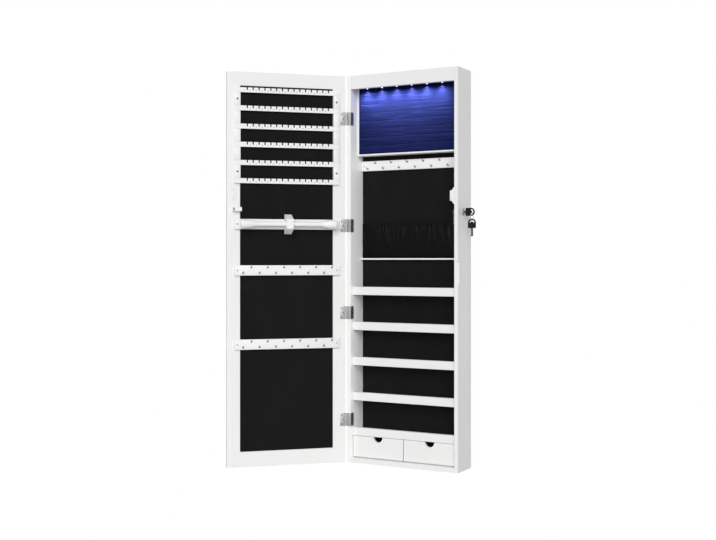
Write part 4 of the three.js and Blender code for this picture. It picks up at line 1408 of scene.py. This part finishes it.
@dataclass
class CamLock:
    """The cam lock: flange and barrel, nut, turning plug and cam."""

    face: float = 189.3
    wall: float = 186.3
    flange: float = 11.0
    sides: int = 48
    barrel: float = 8.5
    bore: float = 5.9
    barrel_end: float = 159.0
    threads: int = 15
    thread_pitch: float = 1.5
    nut_near: float = 170.7
    nut_far: float = HALF_INSIDE
    nut_reach: float = 12.0
    nut_flat: float = 0.885
    plug: float = 5.5
    plug_face: float = 189.6
    plug_rear: float = 158.7
    stud: float = 3.0
    stud_end: float = 154.4
    key_half_thickness: float = 1.4
    key_half_width: float = 3.8

    def housing(self, centre: Point) -> None:
        """Builds the flange and the threaded barrel round their bore."""
        profile = [
            (self.barrel_end + 0.4, self.bore),
            (self.barrel_end, self.bore + 0.4),
            (self.barrel_end, self.barrel - 0.6),
            (self.barrel_end + 0.6, self.barrel),
        ]
        for thread in range(self.threads):
            x = self.barrel_end + 2.0 + thread * self.thread_pitch
            profile += [(x, self.barrel), (x + 0.5, self.barrel - 0.45), (x + 1.0, self.barrel)]
        profile += [
            (self.wall, self.barrel),
            (self.wall, self.flange - 0.2),
            (self.wall + 0.2, self.flange),
            (self.face - 1.3, self.flange),
            (self.face - 0.6, self.flange - 0.35),
            (self.face - 0.1, self.flange - 1.2),
            (self.face, self.flange - 2.0),
            (self.face - 0.25, self.flange - 2.4),
            (self.face - 0.25, self.bore + 0.5),
            (self.face - 0.5, self.bore),
        ]
        body = Blank()
        body.lathe(profile, centre, "X", self.sides, loop=True)
        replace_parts(body.make("lock_flange_and_barrel", FRONT_AXES, STEEL, 30.0), "lock_housing")

    def nut(self, centre: Point) -> None:
        """Builds the hexagonal nut, with chamfered corners, round its bore."""
        sixth = math.pi / 3
        flats = [
            self.nut_flat / math.cos((2 * math.pi * side / self.sides) % sixth - sixth / 2)
            for side in range(self.sides)
        ]
        hollow = [(self.barrel + 0.3) / self.nut_reach] * self.sides
        rings = []
        for along, limit, shares in (
            (self.nut_near, 0.93, flats),
            (self.nut_near + 0.5, 1.0, flats),
            (self.nut_far - 0.5, 1.0, flats),
            (self.nut_far, 0.93, flats),
            (self.nut_far, 1.0, hollow),
            (self.nut_near, 1.0, hollow),
        ):
            ring = []
            for share, (c, s) in zip(shares, turns(self.sides)):
                radius = self.nut_reach * min(limit, share)
                ring.append(Vector(centre) + Vector((along, radius * c, radius * s)))
            rings.append(ring)
        nut = Blank()
        nut.skin(rings, loop=True)
        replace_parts(nut.make("lock_hex_nut", FRONT_AXES, DARK_STEEL, 30.0), "lock_nut")

    def build(self) -> None:
        """Builds the housing, the nut, and the plug with a black slab on its face as painted shade
        for the keyway.
        """
        centre = (0.0, LOCK_DEPTH, LOCK_HEIGHT)
        self.housing(centre)
        self.nut(centre)
        turned = FRONT_AXES.on(Body.LOCK)
        profile = [
            (self.stud_end, self.stud - 0.4),
            (self.stud_end + 0.4, self.stud),
            (self.plug_rear, self.stud),
            (self.plug_rear, self.plug),
            (self.plug_face - 0.4, self.plug),
            (self.plug_face, self.plug - 0.4),
            (self.plug_face, self.plug - 0.9),
            (self.plug_face - 0.35, self.plug - 1.2),
        ]
        plug = Blank()
        plug.lathe(profile, centre, "X", 40)
        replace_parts(plug.make("lock_plug_face", turned, STEEL, 30.0), "lock_plug")
        # The keyway is a thin black slab round the key's blade: painted shade for the slot's
        # opening.
        half = Vector((0.15, self.key_half_thickness, self.key_half_width))
        middle = Vector((self.plug_face - 0.35, LOCK_DEPTH, LOCK_HEIGHT))
        slot = Blank()
        slot.slab(middle - half, middle + half, 0.1, 1)
        slot.make("lock_keyway_painted_shade", turned, BLACK)
        dress_node("lock_cam", DARK_STEEL, 0.35)


@dataclass
class KeySet:
    """A key in the lock, and a spare that hangs from a split ring."""

    bow_near: float = 194.3
    bow_length: float = 28.0
    bow_width: float = 24.0
    bow_thickness: float = 5.5
    bow_corner: float = 2.6
    hole_inset: float = 8.5
    hole_reach: float = 8.4
    hole_sweep: float = 168.0
    hub_peak: float = 20.0
    hub_foot: float = 15.2
    hub_half: float = 6.4
    grip: Profile = ((2.4, -8.6), (12.0, -8.6), (12.0, 8.6), (2.4, 8.6))
    blade_length: float = 25.0
    blade_width: float = 7.0
    blade_thickness: float = 2.2
    cuts: tuple[float, ...] = (0.9, 1.7, 1.1, 2.0, 1.3)
    cut_pitch: float = 3.7
    ring_radius: float = 11.0
    ring_turns: float = 1.92
    ring_steps: int = 150
    wire: float = 0.8
    wire_half: float = 0.42
    ring_top: float = 768.1
    spare_hole: float = 742.7

    def bow_outline(self) -> Outline:
        """Returns the bow's outline: a square shoulder and a round far end."""
        half, corner = self.bow_width / 2, self.bow_corner
        points = []
        for x, z, radius, start, sweep, steps in (
            (corner, corner - half, corner, math.pi, math.pi / 2, 6),
            (self.bow_length - half, 0.0, half, -math.pi / 2, math.pi, 24),
            (corner, half - corner, corner, math.pi / 2, math.pi / 2, 6),
        ):
            for step in range(steps + 1):
                angle = start + sweep * step / steps
                points.append((x + radius * math.cos(angle), z + radius * math.sin(angle)))
        return points

    def bow_hole(self) -> Outline:
        """Returns the bow's crescent opening, which bends round a pointed hub."""
        far = self.bow_length - self.bow_width / 2
        points = []
        for step in range(25):
            angle = math.radians(self.hole_sweep * (step / 24 - 0.5))
            points.append(
                (far + self.hole_reach * math.cos(angle), self.hole_reach * math.sin(angle))
            )
        flank = [(self.hub_foot, self.hub_half), (self.hub_peak - 0.8, 1.4)]
        return [*points, *flank, (self.hub_peak, 0.0), *((x, -z) for x, z in reversed(flank))]

    def blade_outline(self) -> Outline:
        """Returns the blade's outline, with its cuts along the upper edge."""
        top, tip = self.blade_width / 2, -self.blade_length
        points = [(2.0, -top), (2.0, top)]
        for number, drop in enumerate(self.cuts):
            x = -4.0 - number * self.cut_pitch
            points += [(x, top), (x - 1.1, top - drop), (x - 2.1, top - drop), (x - 3.2, top)]
        return [*points, (tip + 2.0, top - 0.6), (tip, 0.3), (tip, -0.3), (tip + 2.0, -top)]

    def key(self, stem: str, node: str, body: Body, place: Matrix) -> None:
        """Builds one key.

        Args:
            stem: First part of its pieces' names.
            node: The solid that it replaces.
            body: The body that carries it.
            place: From the key's own axes, with the bow's near end at 0, to the cabinet's.
        """
        mount = FRONT_AXES.on(body)
        half, thin = self.bow_thickness / 2, self.blade_thickness / 2
        rims = [self.bow_outline(), self.bow_hole()]
        bow = pierced_plate(stem + "_bow", rims, -half, half, mount, BLACK, 0.5)
        grip, blade, groove = Blank(), Blank(), Blank()
        blade.prism(self.blade_outline(), -thin, thin, 0.25)
        for side in (-1, 1):
            grip.prism(rounded(self.grip, 2.2), side * (half - 0.2), side * (half + 0.35))
            # The thin black strips along the blade's faces are painted shade for its milled groove.
            low = (-self.blade_length + 3.0, side * thin - 0.06, -1.9)
            groove.slab(low, (-1.0, side * thin + 0.06, -0.9), 0.05, 1)
        pieces = (
            bow,
            grip.make(stem + "_grip", mount, BLACK),
            blade.make(stem + "_blade", mount, DARK_STEEL),
            groove.make(stem + "_groove_painted_shade", mount, BLACK),
        )
        for piece in pieces:
            piece.data.transform(mount.matrix() @ place @ mount.matrix().inverted())
            piece.data.update()
            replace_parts(piece, node)

    def split_ring(self, x: float) -> None:
        """Builds the ring as two turns of flat wire that lie side by side.

        Args:
            x: The ring's place across.
        """
        centre = Vector((x, LOCK_DEPTH, self.ring_top - self.ring_radius))
        rings = []
        for step in range(self.ring_steps + 1):
            t = step / self.ring_steps
            angle = math.pi / 2 + 2 * math.pi * self.ring_turns * t
            radial = Vector((0.0, math.cos(angle), math.sin(angle)))
            point = centre + radial * self.ring_radius
            point.x += (t - 0.5) * 2 * self.wire_half
            rings.append(
                [
                    point + radial * (self.wire * c) + Vector((self.wire_half * s, 0.0, 0.0))
                    for c, s in turns(10)
                ]
            )
        wire = Blank()
        wire.skin(rings)
        mount = FRONT_AXES.on(Body.RING)
        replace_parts(wire.make("split_ring", mount, STEEL, 60.0), "key_ring")

    def build(self) -> None:
        """Builds the two keys and the ring."""
        hole = self.bow_length - self.hole_inset
        in_lock = Matrix.Translation((self.bow_near, LOCK_DEPTH, LOCK_HEIGHT))
        hanging = (
            Matrix.Translation((self.bow_near + hole, LOCK_DEPTH, self.spare_hole))
            @ Matrix.Rotation(math.radians(-90.0), 4, "Y")
            @ Matrix.Translation((-hole, 0.0, 0.0))
        )
        self.key("lock_key", "key", Body.LOCK, in_lock)
        self.key("spare_key", "spare_key", Body.SPARE, hanging)
        self.split_ring(self.bow_near + hole)


@dataclass
class MagnetCatch:
    """The magnetic catch on the right wall, its plate, and the lock's strike."""

    middle: float = 819.0
    outline: Profile = (
        (HALF_INSIDE, 25.0),
        (169.6, 22.0),
        (168.4, 17.0),
        (161.0, 15.0),
        (160.0, 14.0),
    )
    depth: float = 16.0
    head: Head = Head(1.8, 0.15)
    plate_place: float = -166.9
    plate_middle: float = 829.0
    plate_screw_rise: float = 14.0
    # Corners of the black slab that is painted shade for the strike's slot.
    strike_slot: tuple[Point, Point] = ((-168.6, -14.62, 778.3), (-165.2, -14.0, 786.7))

    def dress(self) -> None:
        """Finishes the solids that show as they are."""
        dress_node("catch_magnet", PLASTIC, 0.3)
        dress_node("catch_plate", LACQUER, 0.3)
        dress_node("lock_strike", PLASTIC, 0.5)

    def build(self) -> None:
        """Builds the housing, the plate's screws, and a black slab in the strike's free end as
        painted shade for its slot.
        """
        housing = Blank()
        upper = [(x, self.middle + rise) for x, rise in self.outline]
        lower = [(x, self.middle - rise) for x, rise in reversed(self.outline)]
        housing.prism([*upper, *lower], 0.0, self.depth, 0.5)
        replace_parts(housing.make("catch_stepped_housing", FRONT_AXES, PLASTIC), "catch_housing")
        centres = [
            (self.plate_place, -1.45, self.plate_middle + rise)
            for rise in (-self.plate_screw_rise, self.plate_screw_rise)
        ]
        screw_set("catch_plate_screws", DOOR_AXES, STEEL, centres, FORWARD, self.head)
        # The slot is a thin black slab: painted shade where the strike's opening is dark.
        slot = Blank()
        slot.slab(*self.strike_slot, 0.1, 1)
        slot.make("lock_strike_slot_painted_shade", DOOR_AXES, BLACK)

@dataclass
class HingeSet:
    """Four butt hinges: a flanged cabinet leaf, a door leaf and knuckles."""

    heights: tuple[float, ...] = (132.5, 464.7, 735.3, 1067.5)
    length: float = 40.0
    leaf_front: float = -1.5
    leaf_rear: float = -0.3
    leaf_outer: float = 185.7
    wall_face: float = 172.5
    flange_face: float = HALF_INSIDE
    flange_depth: float = 17.0
    door_leaf_inner: float = 169.0
    tab_inner: float = 184.9
    pin_place: float = 188.7
    pin_depth: float = -1.7
    knuckle: float = 2.4
    knuckles_in_all: int = 5
    pitch: float = 8.0
    gap: float = 0.15
    wall_head: Head = Head(2.7, 0.55)
    wall_screws: tuple[float, float] = (5.2, 11.4)
    door_head: Head = Head(2.5, 0.25)
    door_screws: tuple[float, float] = (173.6, 179.0)
    screw_rise: float = 13.5

    def knuckles(self, leaf: Blank, side: int, low: float, first: int) -> None:
        """Adds every second knuckle of a hinge to a leaf, each with its tab.

        Args:
            leaf: The mesh that gets them.
            side: -1 where the pin is on the left of the mount's axes, 1 on the right.
            low: Foot of the hinge.
            first: The first knuckle that is the leaf's own.
        """
        r = self.knuckle
        x0, x1 = sorted((side * self.tab_inner, side * self.pin_place))
        for index in range(first, self.knuckles_in_all, 2):
            foot = low + index * self.pitch + self.gap
            head = foot + self.pitch - 2 * self.gap
            profile = [(foot, r - 0.9), (foot, r - 0.25), (foot + 0.25, r)]
            profile += [(head - 0.25, r), (head, r - 0.25), (head, r - 0.9)]
            leaf.lathe(profile, (side * self.pin_place, self.pin_depth, 0.0), "Z", 24)
            leaf.slab((x0, self.leaf_front, foot), (x1, self.leaf_rear, head), 0.25, 1)

    def screws(self, z: float, outer: float, middle: float) -> list[tuple[float, float]]:
        """Returns three staggered screws as pairs of place and height.

        Args:
            z: Middle of the hinge.
            outer: Place of the upper and lower screws.
            middle: Place of the one between.
        """
        return [(outer, z - self.screw_rise), (middle, z), (outer, z + self.screw_rise)]

    def build(self) -> None:
        """Builds both leaves of every hinge, the pins' heads and the screws."""
        front, rear, outer = self.leaf_front, self.leaf_rear, self.leaf_outer
        for number, z in enumerate(self.heights, start=1):
            low, high = z - self.length / 2, z + self.length / 2
            flanged = Blank()
            flanged.slab((-outer, front, low), (-self.wall_face, rear, high), 0.3)
            flange = (-self.wall_face, self.flange_depth, high)
            flanged.slab((-self.flange_face, front, low), flange, 0.3)
            self.knuckles(flanged, -1, low, 0)
            for end in (low, high):
                head = [(end - 0.05, 0.8), (end, 1.1), (end + 0.02, 1.1), (end + 0.05, 0.8)]
                flanged.lathe(head, (-self.pin_place, self.pin_depth, 0.0), "Z", 16)
            leaf = flanged.make(f"hinge_flanged_leaf_{number}", FRONT_AXES, STEEL)
            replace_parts(leaf, f"hinge_cabinet_leaf_{number}")
            places = self.screws(z, *self.wall_screws)
            centres = [(-self.wall_face - 0.05, y, height) for y, height in places]
            name = f"hinge_wall_screws_{number}"
            screw_set(name, FRONT_AXES, DARK_STEEL, centres, RIGHTWARD, self.wall_head)

            flat = Blank()
            flat.slab((self.door_leaf_inner, front, low), (outer, rear, high), 0.3)
            self.knuckles(flat, 1, low, 1)
            leaf = flat.make(f"hinge_flat_leaf_{number}", DOOR_AXES, STEEL)
            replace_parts(leaf, f"hinge_door_leaf_{number}")
            places = self.screws(z, *self.door_screws)
            centres = [(x, front + 0.05, height) for x, height in places]
            name = f"hinge_door_screws_{number}"
            screw_set(name, DOOR_AXES, DARK_STEEL, centres, FORWARD, self.door_head)


@dataclass
class MirrorDoor:
    """The door's frame, velvet face, core board and mirror."""

    half: float = HALF_WIDTH
    height: float = HEIGHT
    thickness: float = 18.0
    stile: float = 40.0
    top_rail: float = 42.0
    bottom_rail: float = 46.0
    border: float = 17.7
    rebate: float = 4.6
    step_width: float = 9.0
    step_depth: float = 1.5
    edge: float = 1.0

    def dress(self) -> None:
        """Finishes the velvet face, the core board and the mirror."""
        dress_node("door_velvet", VELVET)
        dress_node("door_core_board", BOARD)
        dress_node("door_mirror", MIRROR, 0.8)

    def build(self) -> None:
        """Builds the stiles and rails as one lacquered frame without open seams."""
        inner = self.half - self.stile
        rim = self.half - self.border
        floor = self.thickness - self.rebate
        low, high = self.bottom_rail, self.height - self.top_rail

        def filled(x: float, y: float, z: float) -> bool:
            """Tells whether a place belongs to the frame."""
            if x < self.step_width - self.half and y < self.step_depth:
                return False
            if abs(x) < inner and low < z < high:
                return False
            return not (abs(x) < rim and self.border < z < self.height - self.border and y > floor)

        blank = Blank()
        blank.cells(
            (
                (-self.half, self.step_width - self.half, -rim, -inner, inner, rim, self.half),
                (0.0, self.step_depth, floor, self.thickness),
                (0.0, self.border, low, high, self.height - self.border, self.height),
            ),
            filled,
        )
        whole = blank.make("door_lacquered_frame", DOOR_AXES, LACQUER)
        round_edges(whole, self.edge)
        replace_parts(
            whole, "door_stile_hinge", "door_stile_lock", "door_rail_bottom", "door_rail_top"
        )


@dataclass
class EarringRack:
    """Six slotted strips on two side rails."""

    half: float = 165.0
    rail_width: float = 19.0
    back: float = -0.3
    face: float = -8.3
    strip_back: float = -5.3
    top: float = 1152.0
    pitch: float = 55.1
    strip_height: float = 15.0
    strips: int = 6
    slots: int = 15
    slot_pitch: float = 18.2
    slot_shift: float = 2.4
    slot_width: float = 4.0
    slot_depth: float = 8.0
    hole_radius: float = 1.3
    hole_drop: float = 9.2
    head: Head = Head(3.2, 0.9)
    screwed_gaps: tuple[int, ...] = (0, 4)

    def strip(self, number: int, top: float) -> None:
        """Builds one strip with slots in its top edge and a hole between each two."""
        low = top - self.strip_height
        half = self.half - 1.0
        points = [(-half, top), (-half, low), (half, low), (half, top)]
        notch = self.slot_width / 2
        for offset in reversed(spaced(self.slots, self.slot_pitch)):
            x, foot = offset + self.slot_shift, top - self.slot_depth
            points += [(x + notch + 0.3, top), (x + notch, top - 0.4), (x + notch, foot + 0.9)]
            points += [(x + 1.2, foot), (x - 1.2, foot), (x - notch, foot + 0.9)]
            points += [(x - notch, top - 0.4), (x - notch - 0.3, top)]
        holes = [
            circle(offset + self.slot_shift, top - self.hole_drop, self.hole_radius, 10)
            for offset in spaced(self.slots - 1, self.slot_pitch)
        ]
        name, outlines = f"earring_strip_{number}", [points, *holes]
        plate = pierced_plate(name, outlines, self.face, self.strip_back, DOOR_AXES, PLASTIC)
        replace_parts(plate, "earring_rack")

    def build(self) -> None:
        """Builds the rails, strips and screws."""
        low = self.top - (self.strips - 1) * self.pitch - self.strip_height
        rails = Blank()
        for side in (-1, 1):
            x0, x1 = sorted((side * self.half, side * (self.half - self.rail_width)))
            rails.slab((x0, self.strip_back - 1.4, low), (x1, self.back, self.top), 0.8)
            for index in range(self.strips - 1):
                high = self.top - index * self.pitch - self.strip_height - 0.35
                foot = self.top - (index + 1) * self.pitch + 0.35
                rails.slab((x0, self.face, foot), (x1, self.strip_back, high), 0.7)
        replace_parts(rails.make("earring_rails", DOOR_AXES, PLASTIC), "earring_rack")
        for index in range(self.strips):
            self.strip(index + 1, self.top - index * self.pitch)
        rail_middle = self.half - self.rail_width / 2
        gap_middle = self.top - (self.pitch + self.strip_height) / 2
        centres = [
            (x, self.face + 0.05, gap_middle - gap * self.pitch)
            for x in (-rail_middle, rail_middle)
            for gap in self.screwed_gaps
        ]
        screw_set("earring_rack_screws", DOOR_AXES, DARK_STEEL, centres, FORWARD, self.head)


@dataclass
class BraceletHolder:
    """A backing bar, a centre bracket and a rod with swollen ends."""

    height: float = 737.5
    standoff: float = 30.0
    half: float = 152.0
    end: Profile = (
        (0.0, 3.5),
        (0.3, 6.4),
        (1.0, 9.0),
        (2.4, 11.4),
        (4.6, 13.0),
        (7.5, 13.8),
        (12.0, 14.0),
        (20.0, 13.9),
        (26.0, 13.5),
        (31.0, 12.7),
        (36.0, 11.4),
        (41.0, 10.0),
        (46.0, 8.8),
        (51.0, 7.9),
        (56.0, 7.5),
    )
    head: Head = Head(2.8, 0.9)
    screw_place: float = 157.0
    bar_face: float = -10.3

    def dress(self) -> None:
        """Finishes the bar and the bracket."""
        dress_node("bracelet_bar", PLASTIC, 1.4, 3)
        dress_node("bracelet_bracket", PLASTIC, 1.0, 3)

    def build(self) -> None:
        """Builds the turned rod and the bar's end screws."""
        profile = [(-self.half + along, radius) for along, radius in self.end]
        profile += [(self.half - along, radius) for along, radius in reversed(self.end)]
        rod = Blank()
        rod.lathe(profile, (0.0, -self.standoff, self.height), "X", 48)
        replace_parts(rod.make("bracelet_turned_rod", DOOR_AXES, PLASTIC, 50.0), "bracelet_rod")
        places = (-self.screw_place, self.screw_place)
        centres = [(x, self.bar_face + 0.05, self.height) for x in places]
        screw_set("bracelet_bar_screws", DOOR_AXES, STEEL, centres, FORWARD, self.head)


# ------------------------------------------------------------------------ studio


@dataclass
class Studio:
    """Floor, soft light, pale surroundings and the camera."""

    floor_drop: float = 0.5
    floor_radii: tuple[float, ...] = (0.15, 0.3, 0.6, 1.2, 2.4, 5.0)
    floor_middle: tuple[float, float] = (0.0, -0.15)
    floor_sides: int = 64
    fade_start: float = 0.55
    fade_end: float = 1.05
    surroundings: float = 0.355
    front_light: tuple[float, float, float] = (1.99, 25.0, 20.0)
    wall_fill: tuple[float, float, float] = (0.95, 80.0, 20.0)
    softness: float = 40.0
    camera_place: Point = (1.4600, -3.0875, -0.5239)
    camera_yaw: float = 29.652
    lens: float = 55.09
    shift: tuple[float, float] = (0.0363, -0.0150)

    def world(self) -> None:
        """Lights the scene evenly and shows white behind it."""
        world = bpy.data.worlds.new("pale_studio")
        bpy.context.scene.world = world
        world.use_nodes = True
        world.node_tree.nodes.clear()
        nodes = Nodes(world.node_tree)
        through = nodes.node("LightPath").outputs["Is Transmission Ray"]
        white = nodes.join("MAXIMUM", nodes.looked_at(), through)
        strength = nodes.remap(white, 0.0, 1.0, self.surroundings, 1.0)
        backdrop = nodes.node("Background", Color=WHITE, Strength=strength)
        nodes.node("OutputWorld", Surface=backdrop.outputs[0])

    def floor_finish(self, level: float) -> bpy.types.Material:
        """Returns the pale floor's material, which fades into the white surroundings.

        Args:
            level: Height of the floor, in metres.
        """
        graph = Graph("pale_floor")
        speck = graph.remap(graph.noise(6.0, 4.0), 0.3, 0.7, 0.0, 1.0)
        graph.set(Base_Color=graph.mix(speck, (0.90, 0.90, 0.90), (0.875, 0.875, 0.875)))
        graph.set(Roughness=graph.remap(graph.noise(20.0, 3.0), 0.3, 0.7, 0.7, 0.85))
        graph.bump((graph.noise(300.0, 2.0), 0.05, 0.0004))
        x, y = self.floor_middle
        moved = graph.node("Mapping", Vector=graph.place, Location=(-x, -y, -level))
        away = graph.node("VectorMath", {"operation": "LENGTH"})
        graph.feed(away.inputs[0], moved.outputs[0])
        fade = graph.remap(away.outputs["Value"], self.fade_start, self.fade_end, 0.0, 1.0)
        white = graph.node("Emission", Color=WHITE, Strength=1.0)
        blend = graph.node("MixShader")
        graph.feed(blend.inputs[0], graph.times(fade, graph.looked_at()))
        graph.feed(blend.inputs[1], graph.shader.outputs[0])
        graph.feed(blend.inputs[2], white.outputs[0])
        output = next(node for node in graph.tree.nodes if node.type == "OUTPUT_MATERIAL")
        graph.feed(output.inputs["Surface"], blend.outputs[0])
        return graph.material

    def floor(self, base: float) -> None:
        """Lays the floor under the object.

        Args:
            base: Height of the object's lowest point, in metres.
        """
        level = base - self.floor_drop
        mesh = bmesh.new()
        rings = []
        for radius in self.floor_radii:
            ring = circle(*self.floor_middle, radius, self.floor_sides)
            rings.append([mesh.verts.new((x, y, level)) for x, y in ring])
        mesh.faces.new(rings[0])
        for inner, outer in zip(rings, rings[1:]):
            for here in range(-1, len(inner) - 1):
                mesh.faces.new((inner[here], outer[here], outer[here + 1], inner[here + 1]))
        data = bpy.data.meshes.new("studio_floor")
        bmesh.ops.recalc_face_normals(mesh, faces=mesh.faces)
        mesh.to_mesh(data)
        mesh.free()
        data.materials.append(self.floor_finish(level))
        floor = bpy.data.objects.new("studio_floor", data)
        bpy.context.scene.collection.objects.link(floor)
        floor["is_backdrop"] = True

    def sun(self, name: str, strength: float, azimuth: float, elevation: float) -> bpy.types.Object:
        """Adds a broad, far light.

        Args:
            name: Its name.
            strength: Its strength.
            azimuth: Where it stands, in degrees from the front towards the right.
            elevation: How high it stands, in degrees.

        Returns:
            The light's object.
        """
        sun = bpy.data.lights.new(name, "SUN")
        sun.energy = strength
        sun.angle = math.radians(self.softness)
        lamp = bpy.data.objects.new(name, sun)
        around, above = math.radians(azimuth), math.radians(elevation)
        level = math.cos(above)
        towards = Vector((math.sin(around) * level, -math.cos(around) * level, math.sin(above)))
        lamp.rotation_euler = towards.to_track_quat("Z", "Y").to_euler()
        bpy.context.scene.collection.objects.link(lamp)
        return lamp

    def lamps(self) -> None:
        """Adds the broad front light, and a weaker fill on the inner left wall alone."""
        self.sun("front_light", *self.front_light)
        lit = bpy.data.collections.new("lit_by_fill")
        lit.objects.link(bpy.data.objects["side_panel_left"])
        self.sun("wall_fill", *self.wall_fill).light_linking.receiver_collection = lit

    def camera(self) -> None:
        """Places the camera of the photograph's view."""
        data = bpy.data.cameras.new("camera")
        data.sensor_width = 36.0
        data.lens = self.lens
        data.shift_x, data.shift_y = self.shift
        data.clip_start, data.clip_end = 0.05, 50.0
        camera = bpy.data.objects.new("camera", data)
        camera.location = self.camera_place
        camera.rotation_euler = (math.radians(90.0), 0.0, math.radians(self.camera_yaw))
        bpy.context.scene.collection.objects.link(camera)
        bpy.context.scene.camera = camera


def main() -> None:
    """Builds, dresses and lights the cabinet in order."""
    logging.basicConfig(level=logging.INFO, format="%(message)s")
    cad_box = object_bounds()
    studio = Studio()
    studio.camera()

    Carcass().dress()
    BackWork().build()
    tray = RingTray()
    tray.dress()
    rolls = tray.build()
    lamps = LampRow()
    lamps.build()
    lamps.light(rolls)
    HookBar(
        "necklace_bar",
        FRONT_AXES,
        half=HALF_INSIDE,
        height=924.0,
        face=71.7,
        foot=79.7,
        pitch=55.0,
        shift=13.75,
    ).build()
    for node, height in (("hook_bar_upper", 597.0), ("hook_bar_lower", 372.0)):
        HookBar(
            node,
            DOOR_AXES,
            half=165.0,
            height=height,
            face=-10.3,
            foot=-0.3,
            pitch=50.6,
            shift=12.65,
        ).build()
    GatheredPocket().build()
    drawers = DrawerPair()
    drawers.dress()
    drawers.build()
    CamLock().build()
    KeySet().build()
    catch = MagnetCatch()
    catch.dress()
    catch.build()
    HingeSet().build()
    door = MirrorDoor()
    door.dress()
    door.build()
    EarringRack().build()
    holder = BraceletHolder()
    holder.dress()
    holder.build()

    studio.world()
    studio.floor(cad_box[0].z)
    studio.lamps()


if __name__ == "__main__":
    bpy.context.scene.view_settings.view_transform = "Standard"
    main()
